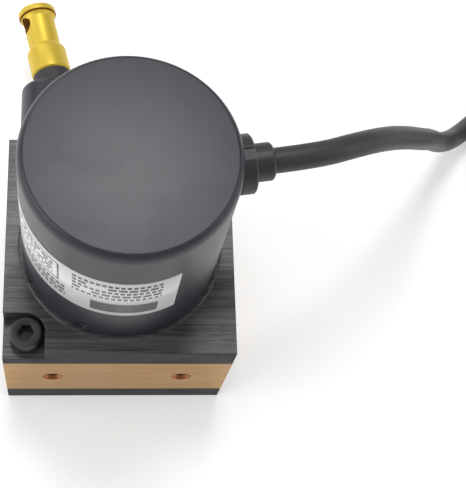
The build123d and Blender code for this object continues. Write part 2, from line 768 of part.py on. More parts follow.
with BuildPart() as sensor_spacers:
    with BuildSketch(Plane.XY.offset(deck)):
        with PolarLocations(spacer_circle_radius, spacer_count, spacer_azimuth):
            RegularPolygon(spacer_flats / 2, 6, major_radius=False)
    extrude(amount=bracket_height)
    with BuildSketch(Plane.XY.offset(deck)):
        with PolarLocations(spacer_circle_radius, spacer_count, spacer_azimuth):
            Circle(spacer_stud_diameter / 2)
    extrude(amount=-spacer_stud_length)
    with BuildSketch(Plane.XY.offset(bracket_floor)):
        with PolarLocations(spacer_circle_radius, spacer_count, spacer_azimuth):
            Circle(spacer_stud_diameter / 2 + fit_clearance)
    extrude(amount=-small_screw_length, mode=Mode.SUBTRACT)
sensor_spacers.part.label = "sensor_spacers"
export_step(sensor_spacers.part, "parts/sensor_spacers.step")

with BuildPart() as bracket_screws:
    with BuildSketch(Plane.XY.offset(bracket_top)):
        with PolarLocations(spacer_circle_radius, spacer_count, spacer_azimuth):
            Circle(small_screw_head_diameter / 2)
    extrude(amount=small_screw_head_height)
    with BuildSketch(Plane.XY.offset(bracket_top)):
        with PolarLocations(spacer_circle_radius, spacer_count, spacer_azimuth):
            Circle(spacer_stud_diameter / 2)
    extrude(amount=-bracket_thickness - small_screw_length + 0.4)
bracket_screws.part.label = "bracket_screws"
export_step(bracket_screws.part, "parts/bracket_screws.step")


# Transmitter board above the sensor, on round spacers
board_floor = bracket_top + board_height
board_top = board_floor + board_thickness
capacitor_reach = board_spacer_circle - (board_spacer_diameter + capacitor_diameter) / 2 - capacitor_screw_gap
with BuildPart() as board_spacers:
    with BuildSketch(Plane.XY.offset(bracket_top)):
        with PolarLocations(board_spacer_circle, spacer_count, board_spacer_azimuth):
            Circle(board_spacer_diameter / 2)
    extrude(amount=board_height)
board_spacers.part.label = "board_spacers"
export_step(board_spacers.part, "parts/board_spacers.step")

with BuildPart() as transmitter_board:
    with BuildSketch(Plane.XY.offset(board_floor)):
        Circle(board_radius)
    extrude(amount=board_thickness)
    with BuildSketch(Plane.XY.offset(board_top)):
        Rectangle(chip_length, chip_width)
    extrude(amount=chip_height)
    with BuildSketch(Plane.XY.offset(board_top)):
        with Locations((-capacitor_reach, chip_width / 2), (capacitor_reach, -chip_width)):
            Circle(capacitor_diameter / 2)
    extrude(amount=capacitor_height)
transmitter_board.part.label = "transmitter_board"
export_step(transmitter_board.part, "parts/transmitter_board.step")

with BuildPart() as board_screws:
    with BuildSketch(Plane.XY.offset(board_top)):
        with PolarLocations(board_spacer_circle, spacer_count, board_spacer_azimuth):
            Circle(board_spacer_diameter / 2)
    extrude(amount=small_screw_head_height)
board_screws.part.label = "board_screws"
export_step(board_screws.part, "parts/board_screws.step")


# Cable gland, screwed through the cover's wall
with BuildPart() as gland_body:
    with BuildSketch(gland_plane.offset(gland_seat)):
        Circle(gland_shank_diameter / 2)
    extrude(amount=-gland_shank_length)
    with BuildSketch(gland_plane.offset(gland_seat)):
        Circle(gland_washer_diameter / 2)
    extrude(amount=gland_washer_thickness)
    with BuildSketch(gland_plane.offset(gland_nut_start)):
        Circle(gland_nut_diameter / 2)
        with PolarLocations(gland_nut_diameter / 2, gland_slot_count, gland_slot_angle):
            Rectangle(2 * gland_slot_depth, gland_slot_width, mode=Mode.SUBTRACT)
    extrude(amount=gland_nut_length)
    with BuildSketch(gland_plane.offset(gland_nut_end)):
        Circle(gland_neck_diameter / 2)
    extrude(amount=gland_neck_length)
    with BuildSketch(gland_plane.offset(gland_seat - gland_shank_length)):
        Circle(gland_bore_radius)
    extrude(amount=gland_cap_end - gland_seat + gland_shank_length, mode=Mode.SUBTRACT)
gland_body.part.label = "gland_body"
export_step(gland_body.part, "parts/gland_body.step")

gland_cap_bore_radius = gland_neck_diameter / 2 + running_clearance
with BuildPart() as gland_cap:
    with BuildSketch(gland_plane.offset(gland_nut_end)):
        Circle(gland_cap_diameter / 2)
    extrude(amount=gland_cap_length)
    chamfer(gland_cap.faces().sort_by(Axis.X)[-1].edges(), length=gland_cap_chamfer)
    with BuildSketch(gland_plane.offset(gland_nut_end)):
        Circle(gland_cap_bore_radius)
    extrude(amount=gland_cap_length - gland_cap_lip, mode=Mode.SUBTRACT)
    with BuildSketch(gland_plane.offset(gland_nut_end)):
        Circle(gland_bore_radius)
    extrude(amount=gland_cap_length, mode=Mode.SUBTRACT)
gland_cap.part.label = "gland_cap"
export_step(gland_cap.part, "parts/gland_cap.step")

gland_seal_start = gland_nut_end + gland_neck_length + gland_seal_gap
with BuildPart() as gland_seal:
    with BuildSketch(gland_plane.offset(gland_seal_start)):
        Circle(gland_neck_diameter / 2)
        Circle(gland_bore_radius, mode=Mode.SUBTRACT)
    extrude(amount=gland_cap_end - gland_cap_lip - gland_seal_start - gland_seal_gap)
gland_seal.part.label = "gland_seal"
export_step(gland_seal.part, "parts/gland_seal.step")

locknut_face = can_bore_radius - locknut_wall_gap
with BuildPart() as gland_locknut:
    with BuildSketch(gland_plane.offset(locknut_face)):
        RegularPolygon(locknut_flats / 2, 6, major_radius=False)
        Circle(gland_shank_diameter / 2 + fit_clearance, mode=Mode.SUBTRACT)
    extrude(amount=-locknut_thickness)
gland_locknut.part.label = "gland_locknut"
export_step(gland_locknut.part, "parts/gland_locknut.step")


# Cable inside the gland, and its conductors up to the board
cable_tail_end = gland_cap_end - cable_tail_length
with BuildPart() as cable_tail:
    with BuildSketch(gland_plane.offset(cable_tail_end)):
        Circle(cable_radius)
    extrude(amount=cable_tail_length)
cable_tail.part.label = "cable_tail"
export_step(cable_tail.part, "parts/cable_tail.step")

conductor_radius = conductor_diameter / 2
conductor_places = [(side, level) for side in (-1, 1) for level in (-1, 1)]
with BuildPart() as inner_conductors:
    for side, level in conductor_places:
        reach = conductor_bend_radius + conductor_offset * (1 - level)
        turn_point = cable_tail_end - reach
        start_height = level * conductor_offset
        rise = board_floor - gland_z
        run_plane = Plane(origin=(0, 0, gland_z), x_dir=gland_direction, z_dir=gland_across)
        with BuildLine(run_plane.offset(side * conductor_offset)) as conductor_path:
            FilletPolyline(
                (cable_tail_end, start_height),
                (turn_point, start_height),
                (turn_point, rise),
                radius=conductor_bend_radius * 0.9,
            )
        with BuildSketch(Plane(origin=conductor_path.line @ 0, z_dir=conductor_path.line % 0)):
            Circle(conductor_radius)
        sweep(path=conductor_path.line)
inner_conductors.part.label = "inner_conductors"
export_step(inner_conductors.part, "parts/inner_conductors.step")


# Wire outlet: a turned nozzle screwed into the back of the drum housing
outlet_plane = Plane(origin=(outlet_axis_x, 0, wire_height), x_dir=(-1, 0, 0), z_dir=(0, 1, 0))
with BuildPart() as wire_outlet:
    with BuildSketch(outlet_plane.offset(half_side)):
        Circle(outlet_diameter / 2)
    extrude(amount=outlet_length)
    fillet(wire_outlet.faces().sort_by(Axis.Y)[-1].edges(), radius=outlet_rim_radius)
    with BuildSketch(outlet_plane.offset(half_side)):
        Circle(outlet_shank_diameter / 2)
    extrude(amount=-outlet_shank_length)
    with BuildSketch(outlet_plane.offset(half_side - outlet_shank_length)):
        Circle(outlet_bore_diameter / 2)
    extrude(amount=outlet_shank_length + outlet_length, mode=Mode.SUBTRACT)
    with BuildSketch(outlet_plane.offset(outlet_face - outlet_mouth_depth)):
        Circle(outlet_mouth_diameter / 2)
    extrude(amount=outlet_mouth_depth, mode=Mode.SUBTRACT)
wire_outlet.part.label = "wire_outlet"
export_step(wire_outlet.part, "parts/wire_outlet.step")

eyelet_radius = outlet_bore_diameter / 2 - fit_clearance
with BuildPart() as outlet_eyelet:
    with BuildSketch(outlet_plane.offset(outlet_face - outlet_mouth_depth - eyelet_length)):
        Circle(eyelet_radius)
        Circle(eyelet_bore_diameter / 2, mode=Mode.SUBTRACT)
    extrude(amount=eyelet_length)
    throat_edges = outlet_eyelet.edges().filter_by(GeomType.CIRCLE).group_by(SortBy.RADIUS)[0]
    fillet(throat_edges, radius=eyelet_throat_radius)
outlet_eyelet.part.label = "outlet_eyelet"
export_step(outlet_eyelet.part, "parts/outlet_eyelet.step")


# Free length of the wire, from where it leaves the drum to the ball
sleeve_radius = drum_root_radius + wire_diameter
wire_start = math.sqrt(sleeve_radius**2 - (winding_radius - wire_radius) ** 2) + running_clearance
wire_end = ball_y + ball_radius
with BuildPart() as draw_wire:
    with BuildSketch(outlet_plane.offset(wire_start)):
        Circle(wire_radius)
    extrude(amount=wire_end - wire_start)
draw_wire.part.label = "draw_wire"
export_step(draw_wire.part, "parts/draw_wire.step")

with BuildPart() as ball_end:
    with Locations(outlet_plane.offset(ball_y)):
        Sphere(ball_radius)
    with BuildSketch(outlet_plane.offset(ball_y - ball_radius)):
        Circle(wire_radius + running_clearance)
    extrude(amount=ball_diameter, mode=Mode.SUBTRACT)
ball_end.part.label = "ball_end"
export_step(ball_end.part, "parts/ball_end.step")


# End fitting: one turned piece on an axis through the ball, with a ball socket and a cross eye
socket_radius = ball_radius + running_clearance
base_radius = fitting_base_diameter / 2
neck_radius = fitting_neck_diameter / 2
flange_radius = fitting_flange_diameter / 2
tail_radius = tail_diameter / 2
rim_at = rim_beyond_ball
shoulder_at = rim_at + fitting_base_length
neck_at = shoulder_at + fitting_shoulder_length
flange_end = rim_at + fitting_length
flange_at = flange_end - fitting_flange_length
groove_at = flange_at - fitting_groove_width
flare_at = groove_at - fitting_flare_length
groove_radius = flange_radius - 2 * fitting_groove_depth
eye_at = rim_at + eye_from_rim
mouth_slope = math.tan(math.radians(fitting_swing + fitting_lean / 2))
mouth_radius = wire_diameter + tail_beyond_ball * mouth_slope
meridian = Plane(origin=ball_centre, x_dir=fitting_across, z_dir=(0, 0, 1))
eye_angle = math.radians(eye_roll)
with BuildPart() as end_fitting:
    with BuildSketch(meridian):
        with BuildLine():
            Polyline(
                (0, -tail_beyond_ball),
                (tail_radius, -tail_beyond_ball),
                (tail_radius, rim_at),
                (base_radius - fitting_edge_break, rim_at),
                (base_radius, rim_at + fitting_edge_break),
                (base_radius, shoulder_at),
                (neck_radius, neck_at),
                (neck_radius, flare_at),
                (groove_radius, groove_at),
                (groove_radius, flange_at),
                (flange_radius, flange_at),
                (flange_radius, flange_end - fitting_edge_break),
                (flange_radius - fitting_edge_break, flange_end),
                (0, flange_end),
                close=True,
            )
        make_face()
    revolve(axis=Axis(ball_centre, fitting_axis))
    with BuildSketch(fitting_plane):
        Circle(socket_radius)
    extrude(amount=eye_at, mode=Mode.SUBTRACT)
    with Locations(fitting_plane):
        Sphere(socket_radius, mode=Mode.SUBTRACT)
    with BuildSketch(meridian):
        with BuildLine():
            Polyline(
                (0, 0),
                (wire_diameter, 0),
                (mouth_radius, -tail_beyond_ball),
                (0, -tail_beyond_ball),
                close=True,
            )
        make_face()
    revolve(axis=Axis(ball_centre, fitting_axis), mode=Mode.SUBTRACT)
    eye_plane = Plane(
        origin=fitting_plane.from_local_coords((0, 0, eye_at)),
        x_dir=fitting_axis,
        z_dir=(
            -math.cos(eye_angle) * fitting_across[0],
            -math.cos(eye_angle) * fitting_across[1],
            math.sin(eye_angle),
        ),
    )
    with BuildSketch(eye_plane):
        Circle(eye_diameter / 2)
    extrude(amount=flange_radius, both=True, mode=Mode.SUBTRACT)
end_fitting.part.label = "end_fitting"
export_step(end_fitting.part, "parts/end_fitting.step")


# Rubber stop: a sleeve on the fitting's tail, which meets the outlet when the wire is in
with BuildPart() as rubber_bumper:
    with BuildSketch(fitting_plane.offset(-bumper_beyond_ball)):
        Circle(bumper_diameter / 2)
    extrude(amount=bumper_beyond_ball + rim_at)
    fillet(rubber_bumper.edges().sort_by(Axis.Y)[0], radius=bumper_edge_radius)
    with BuildSketch(fitting_plane.offset(-bumper_beyond_ball)):
        Circle(tail_radius + fit_clearance)
    extrude(amount=bumper_beyond_ball + rim_at, mode=Mode.SUBTRACT)
rubber_bumper.part.label = "rubber_bumper"
export_step(rubber_bumper.part, "parts/rubber_bumper.step")


# Cable outside: hand-chosen points of its route, from the gland down to the surface
gland_exit = (gland_cap_end * gland_direction[0], gland_cap_end * gland_direction[1], gland_z)
cable_route = [
    gland_exit,
    (37.6, 5.89, 70.8),
    (46.8, 10.0, 68.2),
    (55.2, 15.0, 61.5),
    (62.4, 19.8, 52.6),
    (68.6, 24.4, 43.0),
    (74.3, 29.4, 32.6),
    (79.9, 33.9, 22.2),
    (86.0, 38.9, 12.6),
    (92.0, 45.0, 5.8),
    (99.2, 51.8, 2.6),
    (105.6, 57.8, 2.6),
]


def corner_radii(points):
    """Returns the radius of each corner: 0.45 of the shorter run, over the tangent of half the turn."""
    radii = []
    for before, corner, after in zip(points, points[1:], points[2:]):
        arriving = Vector(*corner) - Vector(*before)
        leaving = Vector(*after) - Vector(*corner)
        half_turn_angle = math.radians(arriving.get_angle(leaving)) / 2
        shorter = min(arriving.length, leaving.length)
        radii.append(0.45 * shorter / math.tan(half_turn_angle))
    return radii


route_radii = corner_radii(cable_route)
print("cable corner radii", [round(radius, 1) for radius in route_radii])
with BuildPart() as cable_lead:
    with BuildLine() as lead_path:
        FilletPolyline(*cable_route, radius=route_radii)
    with BuildSketch(Plane(origin=lead_path.line @ 0, z_dir=lead_path.line % 0)):
        Circle(cable_radius)
    sweep(path=lead_path.line)
lead_length = sum(edge.length for edge in lead_path.edges())
lead_volume = lead_length * math.pi * cable_radius**2
print("cable lead", round(lead_length, 1), "mm, volume ratio", round(cable_lead.part.volume / lead_volume, 4))
cable_lead.part.label = "cable_lead"
export_step(cable_lead.part, "parts/cable_lead.step")


# Spare cable as a tied coil: two turns wide and two high, with one more turn on top
lead_end = Vector(*cable_route[-1])
coil_heading = (lead_end - Vector(*cable_route[-2])).normalized()
coil_outer_turn_radius = coil_inner_turn_radius + cable_diameter
coil_middle_radius = (coil_inner_turn_radius + coil_outer_turn_radius) / 2
coil_lead_in = math.sqrt((coil_outer_turn_radius + cable_diameter) ** 2 - coil_outer_turn_radius**2)
coil_tangent = lead_end + coil_heading * coil_lead_in
coil_centre = coil_tangent + Vector(coil_heading.Y, -coil_heading.X, 0) * coil_outer_turn_radius
lead_in_azimuth = math.degrees(math.atan2(coil_tangent.Y - coil_centre.Y, coil_tangent.X - coil_centre.X))
coil_axis = Axis((coil_centre.X, coil_centre.Y, 0), (0, 0, 1))
first_layer = tie_thickness + cable_radius
second_layer = first_layer + cable_diameter
top_layer = second_layer + cable_diameter * math.sin(math.radians(60))
turn_places = [
    (coil_inner_turn_radius, first_layer),
    (coil_outer_turn_radius, first_layer),
    (coil_inner_turn_radius, second_layer),
    (coil_outer_turn_radius, second_layer),
]
top_turn_place = (coil_middle_radius, top_layer)


def coil_section(turn_angle):
    """Returns the upright plane through the coil's axis, at an angle along the winding from its start."""
    azimuth = math.radians(lead_in_azimuth - turn_angle)
    outwards = (math.cos(azimuth), math.sin(azimuth), 0)
    return Plane(origin=coil_axis.position, x_dir=outwards, z_dir=(outwards[1], -outwards[0], 0))


with BuildPart() as cable_coil:
    with BuildSketch(coil_section(0)):
        with Locations(*turn_places):
            Circle(cable_radius)
        make_hull()
    revolve(axis=coil_axis)
    with BuildSketch(coil_section(coil_top_turn_to)):
        with Locations(top_turn_place):
            Circle(cable_radius)
    revolve(axis=coil_axis, revolution_arc=coil_top_turn_to - coil_top_turn_from)
    with BuildSketch(Plane(origin=lead_end, z_dir=coil_heading)):
        Circle(cable_radius)
    extrude(amount=coil_lead_in)
print("cable coil centre", round(coil_centre.X, 2), round(coil_centre.Y, 2), "first azimuth", round(lead_in_azimuth, 2))
cable_coil.part.label = "cable_coil"
export_step(cable_coil.part, "parts/cable_coil.step")


# Two ties round all the turns, on which the coil rests
tie_sweep = math.degrees(tie_width / coil_middle_radius)
with BuildPart() as coil_ties:
    for tie_angle in tie_turn_angles:
        with BuildSketch(coil_section(tie_angle + tie_sweep / 2)):
            with Locations(*turn_places, top_turn_place):
                Circle(cable_radius + tie_thickness)
            make_hull()
        revolve(axis=coil_axis, revolution_arc=tie_sweep)
    for tie_angle in tie_turn_angles:
        with BuildSketch(coil_section(tie_angle + tie_sweep / 2)):
            with Locations(*turn_places, top_turn_place):
                Circle(cable_radius)
            make_hull()
        revolve(axis=coil_axis, revolution_arc=tie_sweep, mode=Mode.SUBTRACT)
coil_ties.part.label = "coil_ties"
export_step(coil_ties.part, "parts/coil_ties.step")


# Bare conductors beyond the end of the jacket, lying on the coil
conductor_rest = second_layer + cable_radius + conductor_radius
conductor_step = math.degrees(conductor_end_length / 5 / coil_middle_radius)
jacket_end = coil_section(coil_top_turn_to)
with BuildPart() as conductor_ends:
    for side, level in conductor_places:
        start_radius = coil_middle_radius + side * conductor_offset
        start_level = top_layer + level * conductor_offset
        rest_radius = start_radius + side * conductor_offset * 1.5 * (1 + level)
        end_points = [
            jacket_end.from_local_coords((start_radius, start_level, 0)),
            jacket_end.from_local_coords((start_radius, start_level, conductor_end_length / 8)),
        ]
        for step in (2, 3, 4, 5):
            end_section = coil_section(coil_top_turn_to + step * conductor_step)
            end_points.append(end_section.from_local_coords((rest_radius, conductor_rest, 0)))
        with BuildLine() as conductor_line:
            FilletPolyline(*end_points, radius=conductor_diameter * 4)
        with BuildSketch(Plane(origin=conductor_line.line @ 0, z_dir=conductor_line.line % 0)):
            Circle(conductor_radius)
        sweep(path=conductor_line.line)
conductor_ends.part.label = "conductor_ends"
export_step(conductor_ends.part, "parts/conductor_ends.step")
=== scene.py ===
import math

import bmesh
import bpy
from bpy.props import FloatProperty, FloatVectorProperty, IntProperty, PointerProperty
from mathutils import Matrix, Vector


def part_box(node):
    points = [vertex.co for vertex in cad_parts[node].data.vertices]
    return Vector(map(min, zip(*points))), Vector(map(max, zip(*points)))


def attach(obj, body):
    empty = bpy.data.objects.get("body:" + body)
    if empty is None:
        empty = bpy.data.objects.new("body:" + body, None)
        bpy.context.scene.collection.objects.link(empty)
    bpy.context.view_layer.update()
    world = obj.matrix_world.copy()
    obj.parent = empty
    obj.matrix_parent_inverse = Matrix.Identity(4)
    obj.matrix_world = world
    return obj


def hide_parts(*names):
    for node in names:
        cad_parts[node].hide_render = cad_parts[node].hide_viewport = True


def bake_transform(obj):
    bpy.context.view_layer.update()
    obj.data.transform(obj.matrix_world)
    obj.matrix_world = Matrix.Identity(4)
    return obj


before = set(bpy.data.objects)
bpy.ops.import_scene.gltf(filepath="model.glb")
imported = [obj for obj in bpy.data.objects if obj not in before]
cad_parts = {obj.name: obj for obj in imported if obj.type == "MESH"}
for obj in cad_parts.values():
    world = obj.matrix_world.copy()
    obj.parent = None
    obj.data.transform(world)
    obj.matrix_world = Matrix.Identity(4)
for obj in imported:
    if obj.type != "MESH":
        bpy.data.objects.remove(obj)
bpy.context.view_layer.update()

bl_info = {
    "name": "Draw wire sensor",
    "version": (1, 0, 0),
    "blender": (4, 5, 0),
    "location": "View3D > Sidebar > Draw wire sensor",
    "description": "Builds the pieces and finishes of a draw wire displacement sensor on its packed frame",
    "category": "Object",
}

# Shapes are worked in millimetres and scaled to metres when a piece is finished.
MM = 0.001


def box_mm(node):
    """Returns the lowest and highest corner of a frame node, in millimetres."""
    low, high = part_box(node)
    return Vector(low) / MM, Vector(high) / MM


# Places taken from the frame
plate_low, plate_high = box_mm("base_plate")
housing_low, housing_high = box_mm("drum_housing")
can_low, can_high = box_mm("sensor_can")
outlet_low, outlet_high = box_mm("wire_outlet")
ball_low, ball_high = box_mm("ball_end")
label_low, label_high = box_mm("side_label")
half_side = plate_high.x
deck = box_mm("shaft_circlip")[0].z
top_plate_top = box_mm("top_plate")[1].z
can_radius = can_high.x
can_foot = can_low.z
ball_centre = (ball_low + ball_high) / 2
wire_radius = 0.3
wire_place = Vector((ball_centre.x, 0, ball_centre.z))
outlet_face = outlet_high.y
outlet_shank_end = outlet_low.y
outlet_shank_radius = 5.0

# Fits, as in the solids
fit_clearance = 0.02
can_wall = 1.8
can_roof = 2.0
can_bore_radius = can_radius - can_wall
spigot_radius = can_bore_radius - 0.05
drum_bore_radius = (box_mm("wire_drum")[1].x - box_mm("wire_drum")[0].x) / 2 + 1.0

# Cable gland
gland_angle = math.radians(8.9)
gland_direction = Vector((math.cos(gland_angle), math.sin(gland_angle), 0))
gland_height = can_high.z - 11.2
gland_seat = can_radius - 0.8
gland_nut_start = gland_seat + 0.9
gland_nut_end = gland_nut_start + 3.0
gland_cap_end = gland_nut_end + 4.2
gland_nut_radius = 6.0
gland_slot_angles = [math.radians(-25 + 120 * turn) for turn in range(3)]
cable_radius = 2.6

# End fitting
fitting_lean = math.radians(13.2)
fitting_axis = Vector((-math.sin(fitting_lean), math.cos(fitting_lean), 0))
fitting_across = Vector((math.cos(fitting_lean), math.sin(fitting_lean), 0))
rim_at = 1.35
fitting_end = rim_at + 18.5
eye_at = rim_at + 14.2
eye_roll = math.radians(20)
eye_axis = -math.cos(eye_roll) * fitting_across + math.sin(eye_roll) * Vector((0, 0, 1))

# Label
label_start = math.radians(-61.9)
label_length = 50.0
label_thickness = 0.1

# Screws and bearing seats
bearing_seat_radius = 6.5 + fit_clearance
bearing_depth = 5.0
base_thread_radius = 1.5
corner_thread_radius = 2.0
corner_screw_places = [(-20.0, -20.0), (20.0, 20.0)]
base_screw_places = [(x, y) for x in (-20.0, 20.0) for y in (-20.0, 20.0)]
pocket_floor = housing_high.z + 3.2
can_screw_height = can_foot + 2.2
can_screw_angles = [math.radians(-113 + 120 * turn) for turn in range(3)]
front_hole_places = (-14.5, 14.5)
front_hole_height = ball_centre.z

# Cable route in metres: the solids' points, three of them moved a little
cable_route = [
    (0.028157, 0.004409, 0.0708),
    (0.0376, 0.00589, 0.0708),
    (0.0468, 0.0100, 0.0682),
    (0.0552, 0.0150, 0.0615),
    (0.0624, 0.0198, 0.0526),
    (0.0686, 0.0244, 0.0430),
    (0.0743, 0.0298, 0.0326),
    (0.0799, 0.0342, 0.0222),
    (0.0860, 0.0395, 0.0126),
    (0.0920, 0.0450, 0.0058),
    (0.0992, 0.0518, 0.0026),
    (0.1056, 0.0578, 0.0026),
]
coil_inner_turn = 28.6
coil_outer_turn = coil_inner_turn + 2 * cable_radius
coil_middle_turn = (coil_inner_turn + coil_outer_turn) / 2
tie_thickness = 0.5
first_layer = tie_thickness + cable_radius
second_layer = first_layer + 2 * cable_radius
top_layer = second_layer + 2 * cable_radius * math.sin(math.radians(60))
jacket_end_angle = 1514
tie_angles = (50, 270)


def length_setting(name, description, default):
    """Returns a length in metres for the panel."""
    return FloatProperty(name=name, description=description, default=default, unit="LENGTH")


def colour_setting(name, description, default):
    """Returns a colour for the panel."""
    return FloatVectorProperty(name=name, description=description, default=default, subtype="COLOR", size=3)


class SensorSizes(bpy.types.PropertyGroup):
    edge_break: length_setting("Edge break", "Width of the broken edges on the plates", 0.00035)
    small_edge: length_setting("Small edge", "Width of the broken edges on turned and moulded pieces", 0.00018)
    round_segments: IntProperty(
        name="Round segments", description="Segments round the large turned pieces", default=160, min=32, max=256
    )
    cable_length: length_setting("Cable length", "Length of the jacket from the gland to its end", 0.97)
    conductor_length: length_setting("Conductor length", "Length of the open conductors beyond the jacket", 0.03)


class SensorColours(bpy.types.PropertyGroup):
    cover: colour_setting("Cover", "Black anodised cover", (0.029, 0.030, 0.039))
    plates: colour_setting("Plates", "Black anodised plates", (0.055, 0.055, 0.058))
    gold: colour_setting("Drum housing", "Gold anodised block", (0.415, 0.217, 0.040))
    fitting: colour_setting("End fitting", "Yellow metal of the fitting", (0.71, 0.51, 0.055))
    jacket: colour_setting("Cable jacket", "Cable jacket", (0.032, 0.032, 0.035))
    moulded: colour_setting("Gland", "Moulded gland pieces", (0.030, 0.030, 0.032))
    film: colour_setting("Label film", "Silver film of the label", (0.90, 0.90, 0.91))
    ink: colour_setting("Label print", "Grey print of the label", (0.10, 0.10, 0.11))


# Node trees

def put(tree, kind, inputs=None, **settings):
    """Adds a node, sets its properties, and sets or links its inputs."""
    made = tree.nodes.new(kind)
    for name, value in settings.items():
        setattr(made, name, value)
    for key, value in (inputs or {}).items():
        if isinstance(value, bpy.types.NodeSocket):
            tree.links.new(value, made.inputs[key])
        else:
            made.inputs[key].default_value = value
    return made


def reckon(tree, operation, first, second=0.5, clamp=False):
    """Adds a math node and returns its output."""
    return put(tree, "ShaderNodeMath", {0: first, 1: second}, operation=operation, use_clamp=clamp).outputs[0]


def product(tree, first, *others):
    """Multiplies values with math nodes and returns the last output."""
    for other in others:
        first = reckon(tree, "MULTIPLY", first, other)
    return first


def from_middle(tree, value):
    """Returns how far a value lies from one half, with its sign."""
    return reckon(tree, "SUBTRACT", value, 0.5)


def varied(tree, value, contrast, gain):
    """Returns a shade about one, from a value about one half."""
    return reckon(tree, "ADD", product(tree, from_middle(tree, value), contrast, gain), 1.0)


def noise(tree, place, scale, detail=2.0, roughness=0.5, distortion=0.0):
    """Adds a noise texture and returns its value."""
    inputs = {"Vector": place, "Scale": scale, "Detail": detail, "Roughness": roughness, "Distortion": distortion}
    return put(tree, "ShaderNodeTexNoise", inputs).outputs[0]


def mixed(tree, factor, first, second):
    """Mixes two colours."""
    return put(tree, "ShaderNodeMix", {"Factor": factor, "A": first, "B": second}, data_type="RGBA").outputs[2]


def mapped(tree, place, turn=(0, 0, 0), scale=(1, 1, 1)):
    """Turns and stretches a place."""
    return put(tree, "ShaderNodeMapping", {"Vector": place, "Rotation": turn, "Scale": scale}).outputs[0]


def make_group(name, draw, **numbers):
    """Makes a shader node group with a vector and numbers as inputs, and what draw returns as outputs."""
    group = bpy.data.node_groups.new(name, "ShaderNodeTree")
    group.interface.new_socket(name="Vector", in_out="INPUT", socket_type="NodeSocketVector")
    for socket_name, default in numbers.items():
        socket = group.interface.new_socket(name=socket_name, in_out="INPUT", socket_type="NodeSocketFloat")
        socket.default_value = default
    drawn = draw(group, group.nodes.new("NodeGroupInput").outputs)
    for socket_name in drawn:
        group.interface.new_socket(name=socket_name, in_out="OUTPUT", socket_type="NodeSocketFloat")
    result = group.nodes.new("NodeGroupOutput")
    for socket_name, value in drawn.items():
        group.links.new(value, result.inputs[socket_name])
    return group


def tool_marks(tree, given):
    """Draws fine lines along X, as a mill, a brush or a lathe leaves them, with broader bands between."""
    fine = noise(tree, mapped(tree, given["Vector"], scale=(0.03, 1, 1)), given["Lines"], 3.0, 0.65)
    broad_lines = product(tree, given["Lines"], 0.22)
    broad = noise(tree, mapped(tree, given["Vector"], scale=(0.08, 1, 1)), broad_lines)
    both = reckon(tree, "ADD", product(tree, fine, 0.65), product(tree, broad, 0.35))
    return {"Shade": varied(tree, both, given["Contrast"], 4.0), "Height": both}


def surface_grain(tree, given):
    """Draws the even fine grain of a blasted, moulded or extruded surface, with soft patches."""
    grain = noise(tree, given["Vector"], given["Grains"], 2.0, 0.6)
    patch = noise(tree, given["Vector"], 55.0, 3.0, 0.55)
    return {"Shade": varied(tree, grain, given["Contrast"], 3.0), "Height": grain, "Patch": patch}


def handling_marks(tree, given):
    """Draws masks for light handling: soft smudges, specks of dust and hair scratches."""
    place = given["Vector"]
    smeared = noise(tree, place, 90.0, 5.0, distortion=0.6)
    smudge = put(tree, "ShaderNodeMapRange", {"Value": smeared, 1: 0.48, 2: 0.72}).outputs[0]
    speck = put(tree, "ShaderNodeTexVoronoi", {"Vector": place, "Scale": 420.0})
    small = reckon(tree, "LESS_THAN", speck.outputs["Distance"], 0.055)
    chance = put(tree, "ShaderNodeSeparateColor", {0: speck.outputs["Color"]}).outputs[0]
    dust = product(tree, small, reckon(tree, "GREATER_THAN", chance, 0.72))
    strand = noise(tree, mapped(tree, place, (0.5, 0.3, 0.8), (1, 0.04, 1)), 330.0, 1.0)
    thin = reckon(tree, "LESS_THAN", reckon(tree, "ABSOLUTE", from_middle(tree, strand)), 0.0035)
    scratch = product(tree, thin, reckon(tree, "GREATER_THAN", noise(tree, place, 120.0), 0.58))
    return {"Smudge": smudge, "Dust": dust, "Scratch": scratch}


label_axes = ((0, "Left", "Right"), (1, "Bottom", "Top"))


def printed_bars(tree, given):
    """Draws rows of plain bars of uneven length inside a rectangle of the label's own map."""
    on_map = put(tree, "ShaderNodeSeparateXYZ", {0: given["Vector"]}).outputs
    within = []
    inside = []
    for axis, first, last in label_axes:
        past_first = reckon(tree, "SUBTRACT", on_map[axis], given[first])
        share = reckon(tree, "DIVIDE", past_first, reckon(tree, "SUBTRACT", given[last], given[first]))
        within.append(share)
        inside.append(reckon(tree, "LESS_THAN", reckon(tree, "ABSOLUTE", from_middle(tree, share)), 0.5))
    in_bars = {0: product(tree, within[0], given["Bars"]), 1: product(tree, within[1], given["Rows"])}
    bars = put(
        tree, "ShaderNodeTexBrick",
        {
            "Vector": put(tree, "ShaderNodeCombineXYZ", in_bars).outputs[0],
            "Color1": (0, 0, 0, 1), "Color2": (1, 1, 1, 1), "Mortar": (1, 1, 1, 1), "Scale": 1.0,
            "Mortar Size": 0.18, "Mortar Smooth": 0.1, "Bias": 0.0, "Brick Width": 1.9, "Row Height": 1.0,
        },
        offset=0.61, offset_frequency=3, squash=0.6, squash_frequency=2,
    )
    chance = put(tree, "ShaderNodeSeparateColor", {0: bars.outputs["Color"]}).outputs[0]
    kept = reckon(tree, "LESS_THAN", chance, given["Filled"])
    return {"Ink": product(tree, *inside, reckon(tree, "SUBTRACT", 1.0, bars.outputs["Fac"]), kept)}


